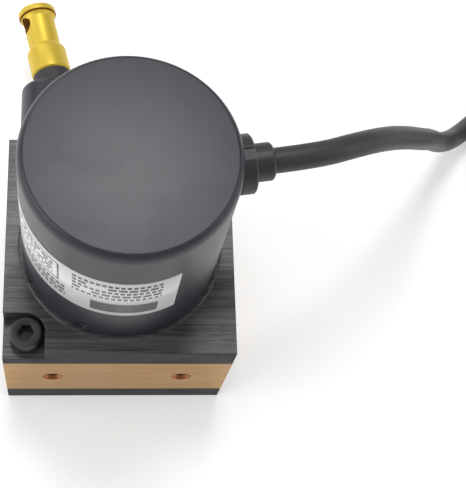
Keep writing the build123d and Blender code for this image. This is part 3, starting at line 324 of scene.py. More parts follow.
def printed_box(tree, given):
    """Draws a plain ruled or filled rectangle in the label's own map."""
    on_map = put(tree, "ShaderNodeSeparateXYZ", {0: given["Vector"]}).outputs
    depths = []
    for axis, first, last in label_axes:
        past_first = reckon(tree, "SUBTRACT", on_map[axis], given[first])
        depths.append(reckon(tree, "MINIMUM", past_first, reckon(tree, "SUBTRACT", given[last], on_map[axis])))
    depth = reckon(tree, "MINIMUM", product(tree, depths[0], given["Shape"]), depths[1])
    outer = reckon(tree, "GREATER_THAN", depth, 0.0)
    return {"Ink": product(tree, outer, reckon(tree, "LESS_THAN", depth, given["Line"]))}


groups = {}


def effect(tree, name, **inputs):
    """Places one of the shared effects in a material and returns its outputs."""
    return put(tree, "ShaderNodeGroup", inputs, node_tree=groups[name]).outputs


def tinted(tree, colour, *shades):
    """Returns a colour darkened or lightened by shade values."""
    scale = {0: tuple(colour), "Scale": product(tree, *shades)}
    return put(tree, "ShaderNodeVectorMath", scale, operation="SCALE").outputs[0]


def any_ray(tree, first, *others):
    """Returns one for any of the named kinds of ray."""
    rays = tree.nodes.new("ShaderNodeLightPath").outputs
    seen = rays[first]
    for other in others:
        seen = reckon(tree, "MAXIMUM", seen, rays[other])
    return seen


def new_material(name):
    """Makes an empty node material and returns it with its tree and output node."""
    material = bpy.data.materials.new(name)
    material.use_nodes = True
    tree = material.node_tree
    tree.nodes.clear()
    return material, tree, tree.nodes.new("ShaderNodeOutputMaterial")


def skinned(tree, output, height, bump, inputs):
    """Adds the surface's shader with its relief and joins it to the output."""
    relief = put(tree, "ShaderNodeBump", {"Height": height, "Distance": bump}).outputs[0]
    shader = put(tree, "ShaderNodeBsdfPrincipled", {"Normal": relief, **inputs})
    tree.links.new(shader.outputs[0], output.inputs[0])


def surface(
    name, colour, roughness, metallic=0.0, lines=0.0, line_contrast=0.15, line_height=0.4, turn=(0, 0, 0),
    grains=3500.0, grain_contrast=0.06, grain_height=0.25, bump=0.00002, smudge=0.06, dust=0.0, scratch=0.0,
    coat=0.0, specular=0.5, patches=0.16,
):
    """Makes a finish from tool marks, grain and handling, on the piece's own coordinates."""
    material, tree, output = new_material(name)
    place = tree.nodes.new("ShaderNodeTexCoord").outputs["Object"]
    grain = effect(tree, "grain", Vector=place, Grains=grains, Contrast=grain_contrast)
    marks = effect(tree, "handling", Vector=place)
    shades = [grain["Shade"]]
    height = product(tree, grain["Height"], grain_height)
    if lines:
        cut = effect(tree, "tool", Vector=mapped(tree, place, turn), Lines=lines, Contrast=line_contrast)
        shades.append(cut["Shade"])
        height = reckon(tree, "ADD", height, product(tree, cut["Height"], line_height))
    shades.append(reckon(tree, "ADD", product(tree, grain["Patch"], patches), 1 - patches / 2))
    worn = reckon(tree, "ADD", product(tree, marks["Dust"], dust), product(tree, marks["Scratch"], scratch), True)
    base = mixed(tree, worn, tinted(tree, colour, *shades), (0.45, 0.45, 0.46, 1))
    rough = reckon(tree, "ADD", product(tree, marks["Smudge"], smudge), roughness)
    uneven = product(tree, from_middle(tree, grain["Patch"]), patches / 2)
    inputs = {
        "Base Color": base, "Metallic": metallic, "Roughness": reckon(tree, "ADD", rough, uneven, True),
        "Specular IOR Level": specular, "Coat Weight": coat, "Coat Roughness": 0.3,
    }
    skinned(tree, output, height, bump, inputs)
    return material


def label_film(name, film, ink):
    """Makes the label's film with rows of plain bars, a plain block and ruled boxes as its print."""
    material, tree, output = new_material(name)
    place = tree.nodes.new("ShaderNodeTexCoord").outputs
    rows = (
        ("bars", ("Rows", "Bars", "Filled")),
        (0.07, 0.43, 0.47, 0.93, 5.0, 17.0, 0.94),
        (0.52, 0.95, 0.52, 0.86, 4.0, 17.0, 0.85),
        (0.46, 0.72, 0.10, 0.40, 3.0, 12.0, 0.9),
        (0.76, 0.95, 0.12, 0.42, 4.0, 9.0, 0.8),
    )
    boxes = (
        ("box", ("Line",)),
        (0.08, 0.35, 0.09, 0.36, 1.0),
        (0.49, 0.97, 0.46, 0.92, 0.025),
        (0.74, 0.97, 0.07, 0.46, 0.025),
    )
    printed = 0.0
    for (kind, more), *places in (rows, boxes):
        for numbers in places:
            inputs = dict(zip(("Left", "Right", "Bottom", "Top", *more), numbers))
            printed = reckon(tree, "MAXIMUM", printed, effect(tree, kind, Vector=place["UV"], **inputs)[0])
    grain = effect(tree, "grain", Vector=place["Object"], Grains=2500.0, Contrast=0.05)
    smudge = effect(tree, "handling", Vector=place["Object"])["Smudge"]
    printed = product(tree, printed, reckon(tree, "SUBTRACT", 0.92, product(tree, smudge, 0.2)))
    colour = mixed(tree, printed, tinted(tree, film, grain["Shade"]), (*ink, 1))
    rough = reckon(tree, "ADD", product(tree, smudge, 0.1), 0.38)
    inputs = {"Base Color": colour, "Roughness": rough, "Coat Weight": 0.15}
    skinned(tree, output, grain["Height"], 0.00001, inputs)
    return material


materials = {}
wire_colours = {
    "Brown insulation": (0.14, 0.05, 0.02),
    "White insulation": (0.74, 0.73, 0.70),
    "Green insulation": (0.03, 0.26, 0.08),
    "Yellow insulation": (0.75, 0.58, 0.05),
}


def make_materials():
    """Builds the shared effects and every finish."""
    groups.update(
        tool=make_group("Tool Marks", tool_marks, Lines=900.0, Contrast=0.2),
        grain=make_group("Surface Grain", surface_grain, Grains=4000.0, Contrast=0.1),
        handling=make_group("Handling Marks", handling_marks),
        bars=make_group(
            "Printed Bars", printed_bars, Left=0.1, Right=0.4, Bottom=0.3, Top=0.8, Rows=4.0, Bars=6.0, Filled=0.8
        ),
        box=make_group("Printed Box", printed_box, Left=0.5, Right=0.9, Bottom=0.1, Top=0.9, Line=0.02, Shape=2.7),
    )
    colours = bpy.context.scene.sensor_colours
    along_y = (0, 0, math.radians(90))
    along_z = (0, math.radians(90), 0)
    along_fitting = (0, 0, math.radians(90) - fitting_lean)
    materials.update(
        cover=surface(
            "Black cover", colours.cover, 0.37, grains=5200.0, grain_contrast=0.1, dust=0.15, smudge=0.03,
            specular=0.38, patches=0.05,
        ),
        plates=surface(
            "Black milled plate", colours.plates, 0.34, lines=1700.0, line_contrast=1.4, line_height=2.0,
            bump=0.00007, dust=0.2, scratch=0.02, smudge=0.1,
        ),
        # Painted shade: a darker copy of the plate finish, for the base plate and the top plate's outer sides.
        base=surface(
            "Black plate sides painted shade", [0.2 * value for value in colours.plates], 0.55, lines=1700.0, line_contrast=0.8,
            line_height=1.5, bump=0.00005, dust=0.2, scratch=0.1, smudge=0.1, specular=0.25,
        ),
        # Painted shade: a darker, redder copy of the gold finish for the insides of the front holes.
        tapped=surface(
            "Tapped hole painted shade", (0.34, 0.13, 0.045), 0.26, metallic=0.9, lines=1700.0, turn=along_y, scratch=0.2
        ),
        gold=surface(
            "Gold anodised block", colours.gold, 0.34, metallic=0.93, lines=1700.0, line_contrast=0.2,
            line_height=0.8, bump=0.00003, grain_contrast=0.05, scratch=0.15, patches=0.3,
        ),
        fitting=surface(
            "Yellow turned metal", colours.fitting, 0.46, metallic=0.5, lines=2600.0, line_contrast=0.08,
            line_height=0.5, turn=along_fitting, grain_contrast=0.03, grain_height=0.1, bump=0.00001,
        ),
        # Painted shade: a darker copy of the fitting's finish, for the eye's bore and the groove under the flange.
        bore=surface(
            "Shaded bore", (0.40, 0.19, 0.030), 0.45, metallic=0.5, lines=2200.0, turn=along_fitting,
            grain_contrast=0.05,
        ),
        moulded=surface("Black moulding", colours.moulded, 0.45, grains=2600.0, grain_contrast=0.12, dust=0.2),
        jacket=surface(
            "Cable jacket", colours.jacket, 0.48, grains=1800.0, grain_contrast=0.12, grain_height=0.5, dust=0.3,
            smudge=0.12,
        ),
        rubber=surface("Black rubber", (0.030, 0.030, 0.034), 0.62, grains=2200.0, grain_contrast=0.15, dust=0.3),
        screw=surface(
            "Blackened screw", (0.030, 0.030, 0.033), 0.48, metallic=0.2, grains=2400.0, grain_contrast=0.15,
            scratch=0.4,
        ),
        bright=surface(
            "Ground steel", (0.56, 0.56, 0.57), 0.24, metallic=1.0, lines=2200.0, line_contrast=0.08, turn=along_z
        ),
        turned=surface(
            "Turned aluminium", (0.72, 0.73, 0.74), 0.3, metallic=1.0, lines=1800.0, line_contrast=0.08, turn=along_z
        ),
        strand=surface(
            "Stranded wire", (0.50, 0.50, 0.51), 0.32, metallic=1.0, lines=5200.0, line_contrast=0.5, line_height=1.5,
            turn=(0, 0, math.radians(38)), bump=0.00003,
        ),
        spring=surface("Blued spring strip", (0.10, 0.12, 0.19), 0.3, metallic=1.0, lines=1500.0, line_contrast=0.1),
        guide=surface("Pale guide ring", (0.74, 0.71, 0.64), 0.2, grains=1500.0, grain_contrast=0.04, coat=0.3),
        sensor=surface("Sensor case", (0.03, 0.05, 0.10), 0.35, grains=2000.0, grain_contrast=0.1),
        board=surface(
            "Board lacquer", (0.02, 0.15, 0.06), 0.28, lines=700.0, line_contrast=0.3, turn=along_y, grains=1400.0,
            coat=0.5,
        ),
        label=label_film("Label film", colours.film, colours.ink),
    )
    for name, colour in wire_colours.items():
        materials[name] = surface(name, colour, 0.36, grains=1500.0, grain_contrast=0.06, coat=0.1)


# Shapes

def block(low, high):
    """Returns a box between two corners."""
    bm = bmesh.new()
    bmesh.ops.create_cube(bm, size=1)
    low, high = Vector(low), Vector(high)
    bmesh.ops.scale(bm, vec=high - low, verts=bm.verts)
    bmesh.ops.translate(bm, vec=(low + high) / 2, verts=bm.verts)
    return bm


def moved(bm, matrix):
    """Puts a shape in place."""
    if matrix is not None:
        bmesh.ops.transform(bm, matrix=matrix, verts=bm.verts)
    return bm


def frame_along(origin, along, up=(0, 0, 1)):
    """Returns the matrix that stands a shape's Z along a direction at an origin."""
    forward = Vector(along).normalized()
    side = Vector(up).cross(forward).normalized()
    matrix = Matrix((side, forward.cross(side), forward)).transposed().to_4x4()
    matrix.translation = Vector(origin)
    return matrix


def turned(profile, segments=96, matrix=None):
    """Spins a closed outline of (radius, height) points round Z, then puts it in place."""
    bm = bmesh.new()
    points = [bm.verts.new((radius, 0, height)) for radius, height in profile]
    edges = [bm.edges.new((first, second)) for first, second in zip(points, points[1:] + points[:1])]
    bmesh.ops.spin(
        bm, geom=points + edges, cent=(0, 0, 0), axis=(0, 0, 1), angle=math.tau, steps=segments,
        use_merge=True, use_duplicate=False,
    )
    bmesh.ops.remove_doubles(bm, verts=bm.verts, dist=0.0005)
    bmesh.ops.dissolve_degenerate(bm, dist=0.0005, edges=bm.edges)
    bmesh.ops.recalc_face_normals(bm, faces=bm.faces)
    return moved(bm, matrix)


def rod(radius, low, high, matrix=None, segments=48, upper_radius=None):
    """Returns a round rod or cone along Z between two heights, then puts it in place."""
    upper = radius if upper_radius is None else upper_radius
    bm = bmesh.new()
    bmesh.ops.create_cone(bm, cap_ends=True, segments=segments, radius1=radius, radius2=upper, depth=high - low)
    bmesh.ops.translate(bm, vec=(0, 0, (low + high) / 2), verts=bm.verts)
    return moved(bm, matrix)


def upright_hole(radius, low, high, at):
    """Returns the rod that drills an upright hole at a place on the plates."""
    return rod(radius, low, high, Matrix.Translation((*at, 0)), 32)


def hexagon(flats, low, high, matrix=None):
    """Returns a hexagonal bar along Z with corners on its X axis, then puts it in place."""
    bm = rod(flats / math.sqrt(3), low, high, segments=6)
    bmesh.ops.rotate(bm, cent=(0, 0, 0), matrix=Matrix.Rotation(math.radians(30), 3, "Z"), verts=bm.verts)
    return moved(bm, matrix)


wire_frame = frame_along(wire_place, (0, 1, 0))
gland_frame = frame_along((0, 0, gland_height), gland_direction)


def arc(centre, radius, first, last, steps=8):
    """Returns points on an arc in a turned outline, between two angles in degrees."""
    angles = [math.radians(first + (last - first) * step / steps) for step in range(steps + 1)]
    return [(centre[0] + radius * math.cos(angle), centre[1] + radius * math.sin(angle)) for angle in angles]


def thread_outline(core, crest, low, high, pitch):
    """Returns the zigzag points of a thread's flank in a turned outline, from low to high."""
    ridges = int((high - low) / pitch)
    points = [(core, low)]
    for ridge in range(ridges):
        points.append((crest, low + (ridge + 0.5) * pitch))
        points.append((core, low + (ridge + 1) * pitch))
    points.append((core, high))
    return points


def placed(name, data):
    """Makes an object and puts it into the scene."""
    made = bpy.data.objects.new(name, data)
    bpy.context.scene.collection.objects.link(made)
    return made


def shape_mesh(bm, name):
    """Turns a shape into a mesh."""
    mesh = bpy.data.meshes.new(name)
    bm.to_mesh(mesh)
    bm.free()
    return mesh


def combined(bm, tools, operation="DIFFERENCE"):
    """Cuts tools out of a shape, or joins or intersects them with it, and returns the new shape."""
    target, *cutters = [placed("working_shape", shape_mesh(shape, "working_shape")) for shape in (bm, *tools)]
    for cutter in cutters:
        cut = target.modifiers.new("cut", "BOOLEAN")
        cut.operation = operation
        cut.solver = "EXACT"
        cut.object = cutter
    bpy.context.view_layer.update()
    evaluated = target.evaluated_get(bpy.context.evaluated_depsgraph_get())
    result = bpy.data.meshes.new_from_object(evaluated)
    left = bmesh.new()
    left.from_mesh(result)
    for used in [target, *cutters]:
        mesh = used.data
        bpy.data.objects.remove(used)
        bpy.data.meshes.remove(mesh)
    bpy.data.meshes.remove(result)
    return left


def joined(*shapes):
    """Puts shapes into one without cutting them."""
    whole = bmesh.new()
    for shape in shapes:
        mesh = shape_mesh(shape, "working_part")
        whole.from_mesh(mesh)
        bpy.data.meshes.remove(mesh)
    return whole


def finished(bm, name, node, material, body="housing", edge=None, edge_angle=35, steps=3):
    """Scales a shape to metres and makes it the piece of a frame node, with its finish, body and edges."""
    bmesh.ops.remove_doubles(bm, verts=bm.verts, dist=0.0002)
    bmesh.ops.scale(bm, vec=(MM, MM, MM), verts=bm.verts)
    piece = placed(name, shape_mesh(bm, name))
    mesh = piece.data
    mesh.materials.append(materials[material])
    mesh.polygons.foreach_set("use_smooth", [True] * len(mesh.polygons))
    mesh.set_sharp_from_angle(angle=math.radians(edge_angle))
    width = bpy.context.scene.sensor_sizes.small_edge if edge is None else edge
    if width:
        bevel = piece.modifiers.new("edges", "BEVEL")
        bevel.width = width
        bevel.segments = steps
        bevel.limit_method = "ANGLE"
        bevel.angle_limit = math.radians(edge_angle)
        bevel.harden_normals = True
    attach(piece, body)
    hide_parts(node)
    return piece


def repainted(piece, material, test):
    """Gives another finish, a darker one that paints shade, to the faces whose middle, in millimetres, and normal pass
    a test.
    """
    piece.data.materials.append(materials[material])
    for face in piece.data.polygons:
        if test(face.center / MM, face.normal):
            face.material_index = 1


# Pieces

class SENSOR_OT_plates(bpy.types.Operator):
    """Build the base plate, the drum housing and the top plate"""

    bl_idname = "sensor.plates"
    bl_label = "Stacked plates"

    def execute(self, context):
        sizes = context.scene.sensor_sizes
        edge = sizes.edge_break

        base = block(plate_low, plate_high)
        pocket = rod(bearing_seat_radius, plate_high.z - bearing_depth, plate_high.z + 1, segments=64)
        sinks = []
        outline = [(0, -1), (3.2, -1), (3.2, 0.15), (1.6, 1.75), (1.6, 8), (0, 8)]
        for x, y in base_screw_places:
            sinks.append(turned(outline, 40, Matrix.Translation((x, y, 0))))
        base = combined(base, [pocket, *sinks])
        # The base plate takes the darker copy of the plate finish as painted shade.
        finished(base, "base_plate_body", "base_plate", "base", edge=edge)

        housing = block(housing_low, housing_high)
        bore = rod(drum_bore_radius, housing_low.z - 1, housing_high.z + 1, segments=sizes.round_segments)
        seat = rod(outlet_shank_radius + fit_clearance, half_side - 6.5, half_side + 1, wire_frame)
        passage = rod(3.0, 0, half_side - 6, wire_frame)
        front_holes = []
        outline = [(0, -8.0), *thread_outline(1.65, 2.0, -8.0, -0.75, 0.7), (2.4, 0.0), (2.4, 1.0), (0, 1.0)]
        for x in front_hole_places:
            mouth = frame_along((x, -half_side, front_hole_height), (0, -1, 0))
            front_holes.append(turned(outline, 40, mouth))
        below, above = housing_low.z - 1, housing_high.z + 1
        taps = [upright_hole(base_thread_radius + fit_clearance, below, 12.0, at) for at in base_screw_places]
        taps += [upright_hole(corner_thread_radius + fit_clearance, 18.3, above, at) for at in corner_screw_places]
        housing = combined(housing, [bore, seat, passage, *front_holes, *taps])
        housing = finished(housing, "drum_housing_body", "drum_housing", "gold", edge=edge)

        # Painted shade: the faces inside the front holes take the darker, redder finish.
        def in_front_hole(middle, normal):
            away = min(math.hypot(middle.x - x, middle.z - front_hole_height) for x in front_hole_places)
            return away < 2.45 and 0.05 < middle.y + half_side < 9

        repainted(housing, "tapped", in_front_hole)

        top = block((-half_side, -half_side, housing_high.z), (half_side, half_side, deck))
        pockets = []
        pocket_start, pocket_round = 16, 4.0
        for side in (-1, 1):
            reach = [side * pocket_start, side * (half_side + 5)]
            cutter = block((min(reach), min(reach), pocket_floor), (max(reach), max(reach), deck + 1))
            inner = Vector((side * pocket_start, side * pocket_start))
            corner = [e for e in cutter.edges if all((vert.co.xy - inner).length < 0.1 for vert in e.verts)]
            bmesh.ops.bevel(
                cutter, geom=corner, offset=pocket_round, segments=10, profile=0.5, material=-1, affect="EDGES"
            )
            pockets.append(cutter)
        below = housing_high.z - 1
        seat_foot = deck - bearing_depth
        outline = [(0, below), (5, below), (5, seat_foot), (bearing_seat_radius, seat_foot)]
        shaft_pocket = turned([*outline, (bearing_seat_radius, deck + 1), (0, deck + 1)], 64)
        screw_ways = [upright_hole(2.1, below, pocket_floor + 1, at) for at in corner_screw_places]
        groove = top_plate_top - 1.9
        groove_radius = spigot_radius - 1.2
        spigot_bore = spigot_radius - 2.35
        ledge_radius = can_radius + 1.0
        spigot = turned(
            [
                (spigot_bore, deck - 0.3), (ledge_radius, deck - 0.3), (ledge_radius, can_foot - 0.3),
                (ledge_radius - 0.3, can_foot), (spigot_radius, can_foot), (spigot_radius, groove - 0.75),
                (groove_radius, groove - 0.75), (groove_radius, groove + 0.75), (spigot_radius, groove + 0.75),
                (spigot_radius, top_plate_top), (spigot_bore, top_plate_top),
            ],
            sizes.round_segments,
        )
        top = combined(top, [spigot], "UNION")
        top = combined(top, [*pockets, shaft_pocket, *screw_ways])
        top = finished(top, "top_plate_body", "top_plate", "plates", edge=edge)

        # Painted shade: the top plate's outer sides take the darker copy of the plate finish.
        def on_side(middle, normal):
            return abs(normal.z) < 0.3 and max(abs(middle.x), abs(middle.y)) > half_side - 0.05

        repainted(top, "base", on_side)
        return {"FINISHED"}


class SENSOR_OT_cover(bpy.types.Operator):
    """Build the round cover with its label and its set screws"""

    bl_idname = "sensor.cover"
    bl_label = "Cover and label"

    def execute(self, context):
        segments = context.scene.sensor_sizes.round_segments
        rim_height, rim_width = 2.8, 1.4
        top = can_high.z
        outline = [(can_bore_radius, can_foot), (can_radius, can_foot)]
        for x, z in arc((0, 0), 1, 0, 90, 14):
            outline.append((can_radius - rim_width * (1 - x), top - rim_height * (1 - z)))
        outline += [(0, top), (0, top - can_roof), (can_bore_radius, top - can_roof)]
        tools = [
            rod(5.95, gland_seat, gland_seat + 3, gland_frame, 64),
            rod(4.02, can_bore_radius - 3, can_radius + 1, gland_frame),
        ]
        screw_frames = [frame_along((0, 0, can_screw_height), (math.cos(a), math.sin(a), 0)) for a in can_screw_angles]
        tools += [rod(1.56, can_bore_radius - 2, can_radius + 1, place, 40) for place in screw_frames]
        can = combined(turned(outline, segments), tools)
        finished(can, "cover_shell", "sensor_can", "cover")

        screws = []
        outer = can_radius - 0.3
        inner = outer - 3.6
        outline = [(0, inner), (0.8, inner), (1.48, inner + 0.7), (1.48, outer - 0.2), (1.28, outer), (0, outer)]
        for place in screw_frames:
            screws.append(combined(turned(outline, 40, place), [hexagon(1.5, outer - 1.7, outer + 1, place)]))
        finished(
            joined(*screws), "cover_set_screws", "can_set_screws", "bright", edge=0.00005, steps=2
        )

        film = bmesh.new()
        radius = can_radius + label_thickness
        first = Vector((radius * math.cos(label_start), radius * math.sin(label_start), 0))
        ends = [film.verts.new((first.x, first.y, height)) for height in (label_low.z, label_high.z)]
        edge = film.edges.new(ends)
        sweep = label_length / can_radius
        bmesh.ops.spin(film, geom=[*ends, edge], cent=(0, 0, 0), axis=(0, 0, 1), angle=-sweep, steps=72)
        bmesh.ops.recalc_face_normals(film, faces=film.faces)
        if sum(face.normal.dot(face.calc_center_median().xy.to_3d()) for face in film.faces) < 0:
            bmesh.ops.reverse_faces(film, faces=film.faces)
        around = film.loops.layers.uv.new("UVMap")
        slack = 0.1
        for loop in [loop for face in film.faces for loop in face.loops]:
            place = loop.vert.co
            angle = (label_start - math.atan2(place.y, place.x) + slack) % math.tau - slack
            loop[around].uv = (angle / sweep, (place.z - label_low.z) / (label_high.z - label_low.z))
        label = finished(film, "label_film", "side_label", "label", edge=0)
        layer = label.modifiers.new("film", "SOLIDIFY")
        layer.thickness = label_thickness * MM
        layer.offset = -1
        return {"FINISHED"}


class SENSOR_OT_screws(bpy.types.Operator):
    """Build the cap screws in the corner pockets and the countersunk screws below"""

    bl_idname = "sensor.screws"
    bl_label = "Screws"

    def execute(self, context):
        knurls, knurl_depth = 96, 0.025
        shank = thread_outline(corner_thread_radius - 0.25, corner_thread_radius, -12.0, -1.0, 0.7)
        outline = [(0, -12.0), *shank, (2.0, -0.8), (2.0, 0), (3.5, 0), (3.5, 3.6), (3.1, 4.0), (0, 4.0)]
        heads = []
        for x, y in corner_screw_places:
            place = Matrix.Translation((x, y, pocket_floor))
            screw = turned(outline, knurls, place)
            for vert in [vert for vert in screw.verts if 0.05 < vert.co.z - pocket_floor < 3.7]:
                from_axis = vert.co - Vector((x, y, vert.co.z))
                if round(math.atan2(from_axis.y, from_axis.x) / math.tau * knurls) % 2:
                    vert.co -= from_axis * knurl_depth
            socket = hexagon(3.0, 2.0, 5.0, place)
            lead = rod(1.5, 3.75, 4.2, place, 48, 2.05)
            drill = rod(1.3, 1.4, 2.2, place, 40)
            heads.append(combined(screw, [socket, lead, drill]))
        finished(
            joined(*heads), "corner_screws", "corner_cap_screws", "screw",
            edge=0.00008, edge_angle=42, steps=2,
        )

        shank = thread_outline(base_thread_radius - 0.2, base_thread_radius, 1.9, 11.0, 0.5)
        outline = [(0, 11.0), *reversed(shank), (1.5, 1.7), (3.0, 0.2), (0, 0.2)]
        below = []
        for x, y in base_screw_places:
            place = Matrix.Translation((x, y, 0))
            below.append(combined(turned(outline, 48, place), [hexagon(2.0, -0.5, 1.6, place)]))
        finished(joined(*below), "underside_screws", "base_screws", "screw", edge=0.00005, steps=2)
        return {"FINISHED"}


class SENSOR_OT_outlet(bpy.types.Operator):
    """Build the wire outlet and its guide ring"""

    bl_idname = "sensor.outlet"
    bl_label = "Wire outlet"

    def execute(self, context):
        ring_top = outlet_face - 2.5
        ring_foot = ring_top - 3.0
        outline = [(3.0, outlet_shank_end), (outlet_shank_radius, outlet_shank_end), (outlet_shank_radius, half_side)]
        outline += [(7.5, half_side)] + arc((6.0, outlet_face - 1.5), 1.5, 0, 90)
        outline += [(5.3, outlet_face), (5.3, ring_top), (3.0, ring_top)]
        nozzle = turned(outline, 112, wire_frame)
        finished(nozzle, "outlet_nozzle", "wire_outlet", "cover", edge=0.00025)

        outline = [(2.98, ring_foot), (2.98, ring_top)]
        outline += arc((1.6, ring_top - 0.8), 0.8, 90, 180) + arc((1.6, ring_foot + 0.8), 0.8, 180, 270)
        ring = turned(outline, 64, wire_frame)
        finished(ring, "guide_ring", "outlet_eyelet", "guide", edge=0.00006)
        return {"FINISHED"}


class SENSOR_OT_fitting(bpy.types.Operator):
    """Build the wire's end: the free wire, the yellow fitting and its rubber stop"""

    bl_idname = "sensor.fitting"
    bl_label = "Wire end"

    def execute(self, context):
        place = frame_along(ball_centre, fitting_axis)
        foot = -2.6
        flange_at = fitting_end - 1.6
        body_radius, neck_radius, flange_radius, eye_radius, ball_room = 4.85, 3.9, 4.7, 2.0, 1.25
        outline = [
            (2.8, foot), (2.8, rim_at), (4.5, rim_at), (body_radius, rim_at + 0.35), (body_radius, rim_at + 6.2),
            (4.65, rim_at + 6.7), (neck_radius, rim_at + 7.7), (neck_radius, flange_at - 1.7),
            (4.05, flange_at - 1.1), (4.4, flange_at - 0.55), (4.35, flange_at - 0.4), (4.1, flange_at - 0.25),
            (4.1, flange_at - 0.05), (flange_radius, flange_at), (flange_radius, fitting_end - 0.45),
        ]
        outline += arc((flange_radius - 0.45, fitting_end - 0.45), 0.45, 0, 90, 5)[1:]
        outline += [(0, fitting_end), (0, eye_at), (ball_room, eye_at), (ball_room, 0)]
        outline += arc((0, 0), ball_room, 0, -42.5, 5)[1:] + [(1.59, foot)]
        eye = rod(eye_radius, -8, 8, frame_along(ball_centre + fitting_axis * eye_at, eye_axis), 64)
        fitting = combined(turned(outline, 128, place), [eye])
        fitting = finished(
            fitting, "eye_fitting", "end_fitting", "fitting", "fitting", edge=0.00016, edge_angle=28
        )

        # Painted shade: the eye's bore and the groove under the flange take the darker finish.
        def in_shade(middle, normal):
            from_ball = middle - ball_centre
            along = from_ball.dot(fitting_axis)
            from_axis = (from_ball - along * fitting_axis).length
            from_eye = from_ball - eye_at * fitting_axis
            from_eye_axis = (from_eye - from_eye.dot(eye_axis) * eye_axis).length
            in_groove = flange_at - 0.42 < along < flange_at - 0.02 and from_axis < 4.4
            return in_groove or (from_eye_axis < eye_radius + 0.03 and from_axis < neck_radius)

        repainted(fitting, "bore", in_shade)

        outline = [(2.82, -2.95)] + arc((3.45, -1.75), 1.2, -90, 0)
        outline += [(4.65, rim_at - 0.2), (4.45, rim_at), (2.82, rim_at)]
        sleeve = turned(outline, 96, place)
        finished(sleeve, "rubber_stop", "rubber_bumper", "rubber", "fitting", edge=0)

        low, high = [corner.y for corner in box_mm("draw_wire")]
        wire = rod(wire_radius, low, high, wire_frame, 14)
        long_edges = [edge for edge in wire.edges if abs(edge.verts[0].co.y - edge.verts[1].co.y) > 1]
        bmesh.ops.subdivide_edges(wire, edges=long_edges, cuts=95, use_grid_fill=True)
        wire = finished(wire, "free_wire", "draw_wire", "strand", "wire_end", edge=0)
        wire.parent = None
        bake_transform(wire)
        return {"FINISHED"}


class SENSOR_OT_gland(bpy.types.Operator):
    """Build the cable gland on the cover's side"""

    bl_idname = "sensor.gland"
    bl_label = "Cable gland"

    def execute(self, context):
        low, high = gland_nut_start, gland_nut_end
        foot, bore, lip = gland_seat - 4.8, 2.65, 3.25
        shank = thread_outline(3.75, 4.0, foot, gland_seat - 0.2, 0.8)
        outline = [(bore, foot), *shank, (5.9, gland_seat), (5.9, low), (gland_nut_radius, low)]
        outline += [(gland_nut_radius, high - 0.35), (gland_nut_radius - 0.35, high)]
        outline += [(lip, high), (lip, high + 1.2), (bore, high + 1.2)]
        slots = []
        for angle in gland_slot_angles:
            slot = block((gland_nut_radius - 0.4, -1.2, low + 0.25), (gland_nut_radius + 1, 1.2, high + 1))
            slots.append(moved(slot, gland_frame @ Matrix.Rotation(angle, 4, "Z")))
        nut = combined(turned(outline, 96, gland_frame), slots)
        finished(nut, "gland_nut_body", "gland_body", "moulded", edge=0.0002)

        low, high = gland_nut_end, gland_cap_end
        outline = [(3.3, low), (3.85, low), (3.85, high - 0.5), (3.35, high), (2.7, high), (2.7, high - 0.6)]
        cap = turned([*outline, (3.3, high - 0.6)], 96, gland_frame)
        finished(cap, "gland_clamp_cap", "gland_cap", "moulded", edge=0.00015)
        return {"FINISHED"}


# The coil's turns: from and to which angle each runs, at which radius and how high
coil_turns = [
    (0, 300, coil_outer_turn, first_layer),
    (360, 600, coil_inner_turn, first_layer),
    (660, 900, coil_inner_turn, second_layer),
    (960, 1200, coil_outer_turn, second_layer),
    (1260, 2000, coil_middle_turn, top_layer),
]
winding_stages = [(angle, radius, height) for first, last, radius, height in coil_turns for angle in (first, last)]


def winding_place(angle):
    """Returns the radius and height of the cable's middle at an angle along the winding."""
    for (start, r0, z0), (stop, r1, z1) in zip(winding_stages, winding_stages[1:]):
        if start <= angle <= stop:
            share = (angle - start) / (stop - start)
            eased = share * share * (3 - 2 * share)
            return r0 + (r1 - r0) * eased, z0 + (z1 - z0) * eased
    raise ValueError("angle beyond the winding")


lead_end = Vector(cable_route[-1]) / MM
coil_heading = (lead_end - Vector(cable_route[-2]) / MM).normalized()
coil_lead_in = math.sqrt((coil_outer_turn + 2 * cable_radius) ** 2 - coil_outer_turn**2)
coil_start = lead_end + coil_heading * coil_lead_in
coil_centre = coil_start + Vector((coil_heading.y, -coil_heading.x, 0)) * coil_outer_turn
first_azimuth = math.atan2(coil_start.y - coil_centre.y, coil_start.x - coil_centre.x)


def on_coil(angle, radius, height):
    """Returns the point at an angle along the winding, in millimetres."""
    azimuth = first_azimuth - math.radians(angle)
    return Vector((coil_centre.x + radius * math.cos(azimuth), coil_centre.y + radius * math.sin(azimuth), height))


def cable_curve(name, points, radius, material, sides=10):
    """Returns a round cable along the smooth curve that its points pull, given in millimetres."""
    line = bpy.data.curves.new(name, "CURVE")
    line.dimensions = "3D"
    line.bevel_depth = radius * MM
    line.bevel_resolution = sides
    line.use_fill_caps = True
    line.resolution_u = 6
    spline = line.splines.new("NURBS")
    spline.points.add(len(points) - 1)
    for target, point in zip(spline.points, points):
        target.co = (*(Vector(point) * MM), 1)
    spline.order_u = 3
    spline.use_endpoint_u = True
    line.materials.append(materials[material])
    return placed(name, line)


